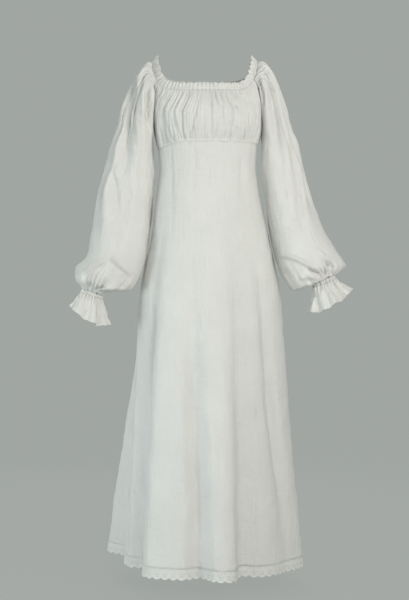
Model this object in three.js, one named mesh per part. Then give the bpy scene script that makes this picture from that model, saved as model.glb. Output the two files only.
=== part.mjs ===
// A full-length gathered underdress, hollow and open at the neck, cuffs and hem, as it hangs on a wearer.
// Millimetres, +Z up. The origin is midway between the shoulders, where the wearer carries the dress; the
// front faces -Y and +X is the wearer's left. Each piece that a maker cuts and sews on is a thin closed
// wall of its own.
import * as THREE from "three";

// ---- driving sizes ----
const CLOTH = 1.6; // thickness of every cloth wall
const SEAM_GAP = 0.3; // clear space between two pieces at a seam
const SIDE = 90; // angle of the side seams; angles round the body are degrees from centre front towards +X

const NECK = {
  left: 124, // how far the neckline reaches to each side, at the shoulders
  right: 134,
  front: 98, // how far it reaches forward
  back: 82,
  shoulderZ: 4,
  frontDrop: 79, // how far the centre front hangs below the shoulders
  backDrop: 46,
  round: 0.15, // how rounded the neckline is over the shoulders
  square: 4, // how flat it is between them
  tip: 0.34, // how far the casing and frill tip towards the neck over the shoulders
};
const NECK_CASING_HIGH = 6;
const NECK_FRILL = { front: 12, shoulder: 20, deep: 2.2, flare: 4 };
// The sleeve seam: how far from the side it leaves the neckline, in degrees; where it ends; how it curves.
const RAGLAN = { leaves: 24, underarm: 0.4, bend: 1.5 };
const WAIST_Z = -210; // the high waist seam
const WAIST_DIP = 14; // how far it sags at the wearer's right side
const LACE_TOP_Z = -1322;
const HEM_Z = -1350;
const CUFF_FRILL = { waves: 8, deep: 8, sag: 11 };

// The body of the dress at each height: how far it reaches to each side, forward and back.
const BODY = [
  { z: -190, left: 138, right: 134, front: 108, back: 87 },
  { z: -225, left: 133, right: 131, front: 103, back: 84 },
  { z: -280, left: 131, right: 128, front: 101, back: 84 },
  { z: -360, left: 143, right: 138, front: 108, back: 98 },
  { z: -468, left: 167, right: 151, front: 122, back: 124 },
  { z: -576, left: 189, right: 177, front: 136, back: 150 },
  { z: -738, left: 203, right: 196, front: 149, back: 172 },
  { z: -954, left: 218, right: 216, front: 164, back: 194 },
  { z: -1170, left: 237, right: 236, front: 178, back: 217 },
  { z: -1350, left: 252, right: 250, front: 190, back: 238 },
];

// The control points that carry the gathered bodice out over the bust and the back.
const BUST = { left: 172, right: 158, front: 155, back: 102, frontZ: -135, sideZ: -150, backZ: -130 };
const BODICE_GATHERS = { waves: 8, deep: 2.4, middle: 0.4 };

// The hem's outline, folds and all. turn: the angle up at the waist that each point hangs from; x, y:
// where the hem lies; start: the height where the cloth begins to leave the smooth body for it; lift: how
// far the hem rises there.
const HEM = [
  { turn: -124, x: -277, y: 242, start: -370, lift: 8 },
  { turn: -118, x: -266, y: 202, start: -370, lift: 7 },
  { turn: -112, x: -232, y: 166, start: -390, lift: 6 },
  { turn: -105, x: -198, y: 118, start: -420, lift: 4 },
  { turn: -98, x: -224, y: 66, start: -460, lift: 2 },
  { turn: -90, x: -208, y: 26, start: -460, lift: 0 },
  { turn: -82, x: -178, y: 6, start: -460, lift: 0 },
  { turn: -66, x: -140, y: -26, start: -420, lift: 2 },
  { turn: -51, x: -141, y: -70, start: -400, lift: 2 },
  { turn: -43, x: -163, y: -128, start: -400, lift: 0 },
  { turn: -38, x: -150, y: -168, start: -420, lift: 0 },
  { turn: -30, x: -112, y: -190, start: -440, lift: 0 },
  { turn: -22, x: -70, y: -195, start: -420, lift: 0 },
  { turn: -15, x: -37, y: -168, start: -330, lift: 0 },
  { turn: -10, x: -13, y: -208, start: -330, lift: 0 },
  { turn: -5, x: 6, y: -228, start: -330, lift: 0 },
  { turn: 6, x: 42, y: -234, start: -280, lift: 0 },
  { turn: 15, x: 68, y: -230, start: -270, lift: 0 },
  { turn: 19, x: 76, y: -212, start: -270, lift: 0 },
  { turn: 22, x: 73, y: -140, start: -290, lift: 2 },
  { turn: 25, x: 79, y: -72, start: -300, lift: 4 },
  { turn: 28, x: 97, y: -98, start: -320, lift: 2 },
  { turn: 32, x: 122, y: -140, start: -360, lift: 0 },
  { turn: 37, x: 147, y: -153, start: -400, lift: 0 },
  { turn: 45, x: 180, y: -126, start: -420, lift: 0 },
  { turn: 56, x: 208, y: -84, start: -460, lift: 0 },
  { turn: 70, x: 237, y: -42, start: -500, lift: 0 },
  { turn: 84, x: 256, y: -4, start: -500, lift: 0 },
  { turn: 96, x: 258, y: 45, start: -480, lift: 0 },
  { turn: 106, x: 236, y: 88, start: -460, lift: 3 },
  { turn: 116, x: 242, y: 140, start: -430, lift: 0 },
  { turn: 126, x: 232, y: 182, start: -400, lift: 0 },
  { turn: 136, x: 188, y: 196, start: -350, lift: 4 },
  { turn: 146, x: 166, y: 240, start: -330, lift: 0 },
  { turn: 156, x: 122, y: 260, start: -340, lift: 0 },
  { turn: 166, x: 82, y: 230, start: -380, lift: 4 },
  { turn: 176, x: 42, y: 248, start: -430, lift: 0 },
  { turn: 186, x: 0, y: 264, start: -420, lift: 0 },
  { turn: 195, x: -40, y: 238, start: -350, lift: 4 },
  { turn: 204, x: -84, y: 240, start: -340, lift: 0 },
  { turn: 212, x: -124, y: 262, start: -360, lift: 0 },
  { turn: 219, x: -160, y: 242, start: -400, lift: 2 },
  { turn: 225, x: -196, y: 240, start: -400, lift: 5 },
  { turn: 231, x: -246, y: 262, start: -380, lift: 8 },
];
const FOLD_GROWTH = 1.2; // how the hem's outline grows downwards: 1 is even, more is later

// Other folds of the skirt. top and bottom: the angles it runs between; from, full and to: heights where
// it starts, is deepest and ends; out: how far it stands out (or in); spread: its half-width in degrees.
const SKIRT_FOLDS = [
  { top: 44, bottom: 62, from: -380, full: -950, to: -1390, out: -20, spread: 6 },
  { top: -42, bottom: -48, from: -330, full: -620, to: -1100, out: -14, spread: 5 },
  { top: 24, bottom: 24, from: -240, full: -520, to: -1100, out: -10, spread: 5 },
];

// Sleeve sections from the armhole to the wrist. outX, outZ: the outer edge; inX, inZ: the edge next to
// the body; midY: the middle's place front to back; deep: half the depth front to back.
const SLEEVE_RIGHT = [
  { outX: -160, outZ: 11, inX: -152, inZ: -112, midY: 0, deep: 52 },
  { outX: -195, outZ: -28, inX: -150, inZ: -124, midY: 1, deep: 58 },
  { outX: -223, outZ: -84, inX: -150, inZ: -154, midY: 3, deep: 61 },
  { outX: -248, outZ: -171, inX: -148, inZ: -222, midY: 5, deep: 66 },
  { outX: -274, outZ: -262, inX: -143, inZ: -300, midY: 6, deep: 72 },
  { outX: -297, outZ: -362, inX: -147, inZ: -374, midY: 4, deep: 78 },
  { outX: -314, outZ: -465, inX: -157, inZ: -462, midY: -6, deep: 84 },
  { outX: -323, outZ: -511, inX: -166, inZ: -520, midY: -14, deep: 88 },
  { outX: -351, outZ: -545, inX: -180, inZ: -566, midY: -22, deep: 86 },
  { outX: -352, outZ: -574, inX: -206, inZ: -603, midY: -32, deep: 70 },
  { outX: -337, outZ: -592, inX: -264, inZ: -608, midY: -40, deep: 38 },
  { outX: -332, outZ: -600, inX: -279, inZ: -619, midY: -42, deep: 27 },
];
const SLEEVE_LEFT = [
  { outX: 158, outZ: 11, inX: 157, inZ: -112, midY: 0, deep: 52 },
  { outX: 182, outZ: -26, inX: 155, inZ: -124, midY: 1, deep: 58 },
  { outX: 202, outZ: -80, inX: 156, inZ: -158, midY: 3, deep: 62 },
  { outX: 225, outZ: -155, inX: 150, inZ: -222, midY: 5, deep: 66 },
  { outX: 250, outZ: -231, inX: 148, inZ: -280, midY: 6, deep: 72 },
  { outX: 271, outZ: -306, inX: 153, inZ: -334, midY: 5, deep: 76 },
  { outX: 291, outZ: -374, inX: 160, inZ: -400, midY: 2, deep: 80 },
  { outX: 313, outZ: -440, inX: 174, inZ: -476, midY: -6, deep: 84 },
  { outX: 344, outZ: -494, inX: 187, inZ: -530, midY: -16, deep: 86 },
  { outX: 367, outZ: -534, inX: 205, inZ: -576, midY: -26, deep: 82 },
  { outX: 352, outZ: -556, inX: 234, inZ: -605, midY: -36, deep: 60 },
  { outX: 337, outZ: -562, inX: 280, inZ: -588, midY: -42, deep: 30 },
];
// Cuff frills, with the same columns: the end of the wrist casing, and two rows of the flared frill below
// it.
const FRILL_RIGHT = [
  { outX: -336, outZ: -609, inX: -281, inZ: -628, midY: -43, deep: 28 },
  { outX: -352, outZ: -628, inX: -273, inZ: -662, midY: -47, deep: 36 },
  { outX: -364, outZ: -648, inX: -267, inZ: -698, midY: -50, deep: 43 },
];
const FRILL_LEFT = [
  { outX: 340, outZ: -573, inX: 284, inZ: -598, midY: -45, deep: 29 },
  { outX: 364, outZ: -590, inX: 279, inZ: -632, midY: -49, deep: 38 },
  { outX: 381, outZ: -608, inX: 278, inZ: -664, midY: -52, deep: 45 },
];

// Long folds down a sleeve. at: angle round it, 0 outside, 90 in front, 180 next to the body; out and
// spread as on the skirt; from, full and to: the sections where the fold starts, is deepest and ends.
const FOLDS_RIGHT = [
  { at: 38, out: -9, spread: 13, from: 0.5, full: 3, to: 7 },
  { at: 66, out: 7, spread: 11, from: 0.5, full: 3.5, to: 8 },
  { at: 104, out: -6, spread: 10, from: 1, full: 3, to: 6 },
  { at: 140, out: 6, spread: 14, from: 3, full: 6, to: 9 },
  { at: 225, out: -8, spread: 14, from: 1, full: 4, to: 8 },
  { at: 262, out: 6, spread: 12, from: 1, full: 4, to: 8 },
  { at: 305, out: -8, spread: 13, from: 0.5, full: 3, to: 7 },
];
const FOLDS_LEFT = [
  { at: 32, out: -8, spread: 12, from: 0.5, full: 4, to: 9 },
  { at: 60, out: -7, spread: 11, from: 0.5, full: 3, to: 7 },
  { at: 86, out: 5, spread: 12, from: 1, full: 5, to: 9 },
  { at: 150, out: 5, spread: 14, from: 3, full: 6, to: 10 },
  { at: 218, out: -8, spread: 14, from: 1, full: 4, to: 8 },
  { at: 258, out: 6, spread: 12, from: 1, full: 4, to: 8 },
  { at: 300, out: -8, spread: 13, from: 0.5, full: 3, to: 7 },
];

// How finely each piece is faceted.
const BODICE_COLUMNS = 32;
const NECK_COLUMNS = 60;
const SLEEVE_COLUMNS = 24;
const RAGLAN_ROWS = 4; // rows of facets along the sleeve seam
const BODICE_SHARES = [0, 0.1, 0.2, 0.3, 0.4, 0.6, 0.8, 1];
const SKIRT_HEIGHTS = [WAIST_Z, -310, -450, -630, -850, -1090, LACE_TOP_Z + SEAM_GAP];
const LACE_HEIGHTS = [LACE_TOP_Z, HEM_Z];
const SEAM_SLOPE_DROP = 20; // how far below the waist seam the slope of the skirt's top edge is read

const CLOTH_WHITE = new THREE.Color(0.86, 0.865, 0.84);
const LACE_WHITE = new THREE.Color(0.84, 0.85, 0.83);
const UP = new THREE.Vector3(0, 0, 1);

// ---- small helpers ----
const radians = (degrees) => (degrees * Math.PI) / 180;
const degrees = (turn) => (turn * 180) / Math.PI;
const clamp01 = (t) => Math.min(1, Math.max(0, t));
const smoothStep = (t) => clamp01(t) ** 2 * (3 - 2 * clamp01(t));
const bump = (t) => Math.exp(-t * t);
const mix = (a, b, t) => a + (b - a) * t;
const blend = (a, b, t) => a.clone().lerp(b, t);

// Evenly spaced numbers from first to last, and the angles of a closed ring.
const steps = (first, last, count) =>
  Array.from({ length: count + 1 }, (_, i) => mix(first, last, i / count));
const ring = (count) => steps(0, 360, count).slice(0, count);

// The shortest signed way round from one angle to another, in degrees.
const turnBetween = (from, to) => ((((to - from + 180) % 360) + 360) % 360) - 180;

// Straight out of the body, level, at an angle round it.
function outwardAt(angle) {
  return new THREE.Vector3(Math.sin(radians(angle)), -Math.cos(radians(angle)), 0);
}

// A smooth curve between two values, with the slopes that it has there.
function smoothBetween(a, b, slopeA, slopeB, step, t) {
  const [t2, t3] = [t * t, t * t * t];
  const bend = (t3 - 2 * t2 + t) * step * slopeA + (t3 - t2) * step * slopeB;
  return (2 * t3 - 3 * t2 + 1) * a + (3 * t2 - 2 * t3) * b + bend;
}

// A column of a table at any height, through its rows in a smooth curve.
function smoothColumn(rows, column, z) {
  const last = rows.length - 1;
  let i = 0;
  while (i < last - 1 && z < rows[i + 1].z) i++;
  const slope = (j) => {
    const [a, b] = [rows[Math.max(0, j - 1)], rows[Math.min(last, j + 1)]];
    return (b[column] - a[column]) / (b.z - a.z);
  };
  const [a, b] = [rows[i], rows[i + 1]];
  const step = b.z - a.z;
  return smoothBetween(a[column], b[column], slope(i), slope(i + 1), step, (z - a.z) / step);
}

// The same round a closed table, whose rows go by turn.
function smoothRound(rows, column, angle) {
  const from = rows[0].turn;
  const at = from + ((((angle - from) % 360) + 360) % 360);
  const row = (i) => {
    const laps = Math.floor(i / rows.length);
    const { turn, [column]: value } = rows[i - laps * rows.length];
    return { turn: turn + 360 * laps, value };
  };
  let i = 0;
  while (row(i + 1).turn <= at) i++;
  const slope = (j) => (row(j + 1).value - row(j - 1).value) / (row(j + 1).turn - row(j - 1).turn);
  const [a, b] = [row(i), row(i + 1)];
  const step = b.turn - a.turn;
  return smoothBetween(a.value, b.value, slope(i), slope(i + 1), step, (at - a.turn) / step);
}

// From 0 up to 1 at full, and back to 0.
function riseAndFall(at, from, full, to) {
  return smoothStep((at - from) / (full - from)) * smoothStep((to - at) / (to - full));
}

// ---- the form: points of the middle of the cloth ----

// The neckline, where the casing is sewn to the bodice and the sleeves.
function neckline(angle) {
  const [s, c] = [Math.sin(radians(angle)), Math.cos(radians(angle))];
  const wide = s >= 0 ? NECK.left : NECK.right;
  const reach = c >= 0 ? NECK.front : NECK.back;
  const drop = mix(NECK.backDrop, NECK.frontDrop, smoothStep((c + 1) / 2));
  const crown = (t) => Math.sqrt(1 - t ** NECK.square + NECK.round ** 2) - NECK.round;
  return new THREE.Vector3(wide * s, -reach * c, NECK.shoulderZ - (drop * crown(Math.abs(s))) / crown(0));
}

// The way up from the neckline: upright in front, and tipped towards the neck over the shoulders.
function neckUp(angle) {
  return new THREE.Vector3(-NECK.tip * Math.sin(radians(angle)) ** 3, 0, 1).normalize();
}

// The slant at which casing, bodice and sleeves meet at the neckline.
const neckNormal = (angle) => outwardAt(angle).add(UP).normalize();

// The height of the high waist seam, which dips at the wearer's right side.
const waistZ = (angle) => WAIST_Z - WAIST_DIP * Math.max(0, -Math.sin(radians(angle))) ** 4;

// The smooth body of the dress at an angle and a height, with no folds.
function bodyAt(angle, z) {
  const [s, c] = [Math.sin(radians(angle)), Math.cos(radians(angle))];
  const wide = smoothColumn(BODY, s >= 0 ? "left" : "right", z);
  const deep = smoothColumn(BODY, c >= 0 ? "front" : "back", z);
  return new THREE.Vector3(wide * s, -deep * c, z);
}

// The skirt, with its folds; z is the height before the hem's small lifts.
function skirtAt(angle, z) {
  const p = bodyAt(angle, z);
  const [x, y, start, lift] = ["x", "y", "start", "lift"].map((column) => smoothRound(HEM, column, angle));
  const straight = bodyAt(angle, HEM_Z);
  const grown = clamp01((start - z) / (start - HEM_Z)) ** FOLD_GROWTH;
  p.add(new THREE.Vector3(x - straight.x, y - straight.y, lift).multiplyScalar(grown));
  for (const fold of SKIRT_FOLDS) {
    const down = clamp01((fold.from - z) / (fold.from - fold.to));
    const size = riseAndFall(-z, -fold.from, -fold.full, -fold.to);
    const across = turnBetween(mix(fold.top, fold.bottom, down), angle) / fold.spread;
    p.addScaledVector(outwardAt(angle), fold.out * size * bump(across));
  }
  return p;
}

// The bodice between the neckline (share 0) and the waist seam (share 1), with no gathers.
function bodiceAt(angle, share) {
  const [s, c] = [Math.sin(radians(angle)), Math.cos(radians(angle))];
  const wide = s >= 0 ? BUST.left : BUST.right;
  const deep = c >= 0 ? BUST.front : BUST.back;
  const fullZ = mix(BUST.sideZ, c >= 0 ? BUST.frontZ : BUST.backZ, c * c);
  const full = new THREE.Vector3(wide * s, -deep * c, fullZ);
  const bottom = bodyAt(angle, waistZ(angle));
  return new THREE.QuadraticBezierCurve3(neckline(angle), full, bottom).getPoint(share);
}

// How many degrees short of the side a bodice panel ends: on the sleeve seam, down to nothing at the
// underarm.
function raglanTurn(share) {
  return RAGLAN.leaves * (1 - clamp01(share / RAGLAN.underarm) ** RAGLAN.bend);
}

// The outward normal, and the way down the cloth, of a form at an angle and a height or share.
function slopeOf(form, angle, along, step) {
  const round = form(angle + 1, along).sub(form(angle - 1, along));
  const down = form(angle, along + step).sub(form(angle, along - step)).normalize();
  return { normal: down.clone().cross(round).normalize(), down };
}
const bodiceSlope = (angle, share) => slopeOf(bodiceAt, angle, Math.max(share, 0.02), 0.01);

// A point and normal of the seam where bodice and sleeve meet, straight between two rows of the bodice's
// facets. side is 1 on the wearer's left and -1 on the right; front is 1 on the front seam and -1 on the
// back one.
function raglanSeam(side, front, share) {
  const row = Math.min(RAGLAN_ROWS - 1, Math.floor((share / RAGLAN.underarm) * RAGLAN_ROWS));
  const [start, end] = [row, row + 1].map((i) => {
    const at = (RAGLAN.underarm * i) / RAGLAN_ROWS;
    const angle = side * (SIDE - front * raglanTurn(at));
    const normal = i ? bodiceSlope(angle, at).normal : neckNormal(angle);
    return { at, point: bodiceAt(angle, at), normal };
  });
  const t = (share - start.at) / (end.at - start.at);
  const normal = blend(start.normal, end.normal, t).normalize();
  return { point: blend(start.point, end.point, t), normal };
}

// A closed section of a sleeve or frill from its row: 0 outside, 90 in front, 180 next to the body.
function sectionAt(row, angle) {
  const [s, c] = [Math.sin(radians(angle)), Math.cos(radians(angle))];
  const middle = new THREE.Vector3((row.outX + row.inX) / 2, row.midY, (row.outZ + row.inZ) / 2);
  const outer = new THREE.Vector3((row.outX - row.inX) / 2, 0, (row.outZ - row.inZ) / 2);
  return middle.addScaledVector(outer, c).add(new THREE.Vector3(0, -row.deep * s, 0));
}

// Straight out of such a section, in its own plane.
function sectionOutward(row, angle) {
  const outer = new THREE.Vector3(row.outX - row.inX, 0, row.outZ - row.inZ);
  const [wide, s, c] = [outer.length() / 2, Math.sin(radians(angle)), Math.cos(radians(angle))];
  return outer.normalize().multiplyScalar(row.deep * c).add(new THREE.Vector3(0, -wide * s, 0)).normalize();
}

// The ring that a sleeve starts from: over the shoulder on the neckline, then down both sleeve seams to
// the underarm. Each place has the cloth's normal and the way the sleeve leaves the seam. angle is the
// sleeve's own.
function armholeAt(side, angle) {
  const onNeck = 60; // degrees of the ring, each way from the shoulder, that lie on the neckline
  const turn = turnBetween(0, angle);
  const beyond = (Math.abs(turn) - onNeck) / (180 - onNeck);
  const alongNeck = side * (SIDE - (RAGLAN.leaves * Math.max(-onNeck, Math.min(onNeck, turn))) / onNeck);
  const away = beyond <= 0 ? outwardAt(alongNeck).sub(UP) : new THREE.Vector3();
  if (beyond >= 0) away.addScaledVector(beyond < 1 ? outwardAt(side * SIDE) : UP, Math.SQRT2);
  if (beyond < 0) {
    return { point: neckline(alongNeck), normal: neckNormal(alongNeck), away: away.normalize() };
  }
  const { point, normal } = raglanSeam(side, Math.sign(turn), RAGLAN.underarm * beyond);
  return { point, normal, away: away.addScaledVector(normal, -away.dot(normal)).normalize() };
}

// ---- closed walls from rows of points ----

// A wall of the cloth's thickness about rows of points. rows[i][j] runs down the piece and round it, and
// normals[i][j] points out of the cloth there. closed: the rows close on themselves. turned: they run the
// other way.
function clothWall(rows, normals, { closed = false, turned = false } = {}) {
  const [down, across] = [rows.length, rows[0].length];
  const positions = [];
  for (const side of [0.5, -0.5]) {
    rows.forEach((row, i) => {
      row.forEach((point, j) => {
        const p = point.clone().addScaledVector(normals[i][j], side * CLOTH);
        positions.push(p.x, p.y, p.z);
      });
    });
  }
  const outer = (i, j) => i * across + (j % across);
  const inner = (i, j) => down * across + outer(i, j);
  const faces = [];
  const quad = (a, b, c, d) => faces.push(...(turned ? [a, c, b, a, d, c] : [a, b, c, a, c, d]));
  const columns = closed ? across : across - 1;
  for (let j = 0; j < columns; j++) {
    for (let i = 0; i < down - 1; i++) {
      quad(outer(i, j), outer(i + 1, j), outer(i + 1, j + 1), outer(i, j + 1));
      quad(inner(i, j), inner(i, j + 1), inner(i + 1, j + 1), inner(i + 1, j));
    }
    quad(outer(0, j), outer(0, j + 1), inner(0, j + 1), inner(0, j));
    quad(outer(down - 1, j), inner(down - 1, j), inner(down - 1, j + 1), outer(down - 1, j + 1));
  }
  for (let i = 0; !closed && i < down - 1; i++) {
    quad(outer(i, 0), inner(i, 0), inner(i + 1, 0), outer(i + 1, 0));
    quad(outer(i, columns), outer(i + 1, columns), inner(i + 1, columns), inner(i, columns));
  }
  const geometry = new THREE.BufferGeometry();
  geometry.setAttribute("position", new THREE.Float32BufferAttribute(positions, 3));
  geometry.setIndex(faces);
  geometry.computeVertexNormals();
  return geometry;
}

// The normals of rows of points, from each point's neighbours.
function rowNormals(rows, { closed = false, turned = false } = {}) {
  const across = rows[0].length;
  return rows.map((row, i) =>
    row.map((_, j) => {
      const [above, below] = [rows[Math.max(0, i - 1)], rows[Math.min(rows.length - 1, i + 1)]];
      const before = closed ? (j + across - 1) % across : Math.max(0, j - 1);
      const after = closed ? (j + 1) % across : Math.min(across - 1, j + 1);
      const normal = below[j].clone().sub(above[j]).cross(row[after].clone().sub(row[before])).normalize();
      return turned ? normal.negate() : normal;
    }),
  );
}

function piece(name, geometry, color = CLOTH_WHITE) {
  const material = new THREE.MeshStandardMaterial({ color, roughness: 0.9, metalness: 0 });
  const mesh = new THREE.Mesh(geometry, material);
  mesh.name = name;
  return mesh;
}

// ---- the pieces ----

// A bodice panel, front (middle 0) or back (middle 180), gathered between the neck casing and the waist
// seam.
function bodicePanel(name, middle) {
  const rows = [];
  const normals = [];
  for (const share of BODICE_SHARES) {
    const sideGap = share < RAGLAN.underarm ? 0 : degrees(SEAM_GAP / 2 / bodiceAt(SIDE, share).x);
    const half = SIDE - raglanTurn(share);
    const gathered = mix(1, BODICE_GATHERS.middle, Math.sin(Math.PI * share)) * (share > 0 && share < 1);
    const places = steps(-half, half, BODICE_COLUMNS).map((turn, j) => {
      const { normal, down } = bodiceSlope(middle + turn, share);
      const edge = j === 0 || j === BODICE_COLUMNS;
      const wave = edge ? 0 : Math.cos((j * Math.PI * 2 * BODICE_GATHERS.waves) / BODICE_COLUMNS);
      const point = bodiceAt(middle + turn - (edge ? Math.sign(turn) * sideGap : 0), share);
      point.addScaledVector(normal, BODICE_GATHERS.deep * gathered * wave);
      if (share === 0) point.addScaledVector(outwardAt(middle + turn).sub(UP).normalize(), SEAM_GAP);
      if (share === 1) point.addScaledVector(down, -SEAM_GAP);
      const atSeam = { 0: neckNormal(middle + turn), 1: outwardAt(middle + turn) };
      return { point, normal: atSeam[share] ?? normal };
    });
    rows.push(places.map(({ point }) => point));
    normals.push(places.map(({ normal }) => normal));
  }
  return piece(name, clothWall(rows, normals));
}

// The turns of a panel's columns: its side seams, each point of the hem's outline between them, and the
// middles.
function skirtTurns(middle) {
  const offsets = HEM.map(({ turn }) => turnBetween(middle, turn));
  const points = offsets.filter((turn) => Math.abs(turn) < SIDE - 1).sort((a, b) => a - b);
  const turns = [-SIDE, ...points, SIDE];
  const columns = turns.flatMap((turn, i) => (i ? [(turns[i - 1] + turn) / 2, turn] : [turn]));
  return columns.map((turn) => middle + turn);
}

// A skirt panel, or the lace below it, between two side seams and through a list of heights.
function skirtPanel(name, middle, heights, color) {
  const turns = skirtTurns(middle);
  const last = turns.length - 1;
  const rows = heights.map((z) => {
    const sideGap = degrees(SEAM_GAP / 2 / bodyAt(SIDE, z).x);
    return turns.map((turn, j) => {
      const angle = turn + (j === 0 ? sideGap : 0) - (j === last ? sideGap : 0);
      return skirtAt(angle, z === WAIST_Z ? waistZ(angle) - SEAM_GAP / 2 : z);
    });
  });
  const normals = rowNormals(rows);
  heights.forEach((z, i) => {
    const below = Math.min(z, WAIST_Z - SEAM_SLOPE_DROP);
    for (const j of [0, last]) normals[i][j] = slopeOf(skirtAt, turns[j], below, -1).normal;
    if (z === WAIST_Z) normals[i] = turns.map(outwardAt);
  });
  return piece(name, clothWall(rows, normals), color);
}

// How far the long folds push a sleeve in or out at a section and an angle.
function sleeveFold(folds, section, angle) {
  let out = 0;
  for (const fold of folds) {
    const size = riseAndFall(section, fold.from, fold.full, fold.to);
    out += fold.out * size * bump(turnBetween(fold.at, angle) / fold.spread);
  }
  return out;
}

// A sleeve from the armhole to the wrist.
function sleeve(name, side, sections, folds) {
  const angles = ring(SLEEVE_COLUMNS);
  const hole = angles.map((angle) => armholeAt(side, angle));
  const rows = [hole.map(({ point, away }) => point.clone().addScaledVector(away, SEAM_GAP))];
  sections.forEach((row, i) => {
    const pointAt = (angle) =>
      sectionAt(row, angle).addScaledVector(sectionOutward(row, angle), sleeveFold(folds, i, angle));
    rows.push(angles.map(pointAt));
  });
  const winding = { closed: true, turned: side > 0 };
  const normals = rowNormals(rows, winding);
  normals[0] = hole.map(({ normal }) => normal);
  normals[rows.length - 1] = angles.map((angle) => sectionOutward(sections[sections.length - 1], angle));
  return piece(name, clothWall(rows, normals, winding));
}

// The elastic casing at a wrist: a short tube that carries on from the last sleeve section to the frill.
function wristCasing(name, side, sections, frill) {
  const angles = ring(SLEEVE_COLUMNS);
  const [start, end] = [sections[sections.length - 1], frill[0]];
  const long = sectionAt(start, 0).distanceTo(sectionAt(end, 0));
  const shares = [SEAM_GAP / long, 1 - SEAM_GAP / long];
  const pointAt = (angle, t) => blend(sectionAt(start, angle), sectionAt(end, angle), t);
  const rows = shares.map((t) => angles.map((angle) => pointAt(angle, t)));
  const normals = [start, end].map((row) => angles.map((angle) => sectionOutward(row, angle)));
  return piece(name, clothWall(rows, normals, { closed: true, turned: side > 0 }));
}

// The gathered frill that flares from a wrist casing.
function cuffFrill(name, side, frill) {
  const angles = ring(SLEEVE_COLUMNS);
  const rows = frill.map((row, i) => {
    const opened = i / (frill.length - 1);
    return angles.map((angle) => {
      const wave = Math.cos(radians(angle) * CUFF_FRILL.waves) * CUFF_FRILL.deep * opened;
      const p = sectionAt(row, angle).addScaledVector(sectionOutward(row, angle), wave);
      return p.addScaledVector(UP, -CUFF_FRILL.sag * opened * Math.sin(radians(angle)) ** 2);
    });
  });
  const normals = frill.map((row) => angles.map((angle) => sectionOutward(row, angle)));
  return piece(name, clothWall(rows, normals, { closed: true, turned: side > 0 }));
}

// The elastic casing round the neckline.
function neckCasing() {
  const angles = ring(NECK_COLUMNS);
  const heights = [NECK_CASING_HIGH, 0];
  const rows = heights.map((high) => angles.map((a) => neckline(a).addScaledVector(neckUp(a), high)));
  const normals = [angles.map(outwardAt), angles.map(neckNormal)];
  return piece("neck_casing", clothWall(rows, normals, { closed: true }));
}

// The small frill that stands above the neck casing.
function neckFrill() {
  const angles = ring(NECK_COLUMNS);
  const rows = [1, 0].map((share) =>
    angles.map((angle, j) => {
      const high = mix(NECK_FRILL.front, NECK_FRILL.shoulder, Math.sin(radians(angle)) ** 4);
      const wave = NECK_FRILL.flare + (j % 2 ? NECK_FRILL.deep : -NECK_FRILL.deep);
      return neckline(angle)
        .addScaledVector(neckUp(angle), NECK_CASING_HIGH + SEAM_GAP + share * high)
        .addScaledVector(outwardAt(angle), share * wave);
    }),
  );
  const normals = rows.map(() => angles.map(outwardAt));
  return piece("neck_frill", clothWall(rows, normals, { closed: true }));
}

const dress = new THREE.Group();
dress.add(
  bodicePanel("bodice_front", 0),
  bodicePanel("bodice_back", 180),
  neckCasing(),
  neckFrill(),
  sleeve("sleeve_right", -1, SLEEVE_RIGHT, FOLDS_RIGHT),
  sleeve("sleeve_left", 1, SLEEVE_LEFT, FOLDS_LEFT),
  wristCasing("wrist_casing_right", -1, SLEEVE_RIGHT, FRILL_RIGHT),
  wristCasing("wrist_casing_left", 1, SLEEVE_LEFT, FRILL_LEFT),
  cuffFrill("cuff_frill_right", -1, FRILL_RIGHT),
  cuffFrill("cuff_frill_left", 1, FRILL_LEFT),
  skirtPanel("skirt_front", 0, SKIRT_HEIGHTS),
  skirtPanel("skirt_back", 180, SKIRT_HEIGHTS),
  skirtPanel("hem_lace_front", 0, LACE_HEIGHTS, LACE_WHITE),
  skirtPanel("hem_lace_back", 180, LACE_HEIGHTS, LACE_WHITE),
);

export default dress;
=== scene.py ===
# %% [markdown]
# # A gathered cotton underdress
# This lesson dresses one garment: a full-length underdress of thin white cotton, of the kind that is worn
# under a medieval gown. Its neck and wrists are gathered on elastic, its waist seam sits high under the
# bust, its sleeves puff over the wrists, and its plain skirt falls in soft cones to a scalloped eyelet
# trim.
#
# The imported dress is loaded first. It holds each sewn piece as a plain wall of the right size in the right
# place, and everything below is a finer version of one of those walls. Its box is kept, because nothing
# may grow far past it.

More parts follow.
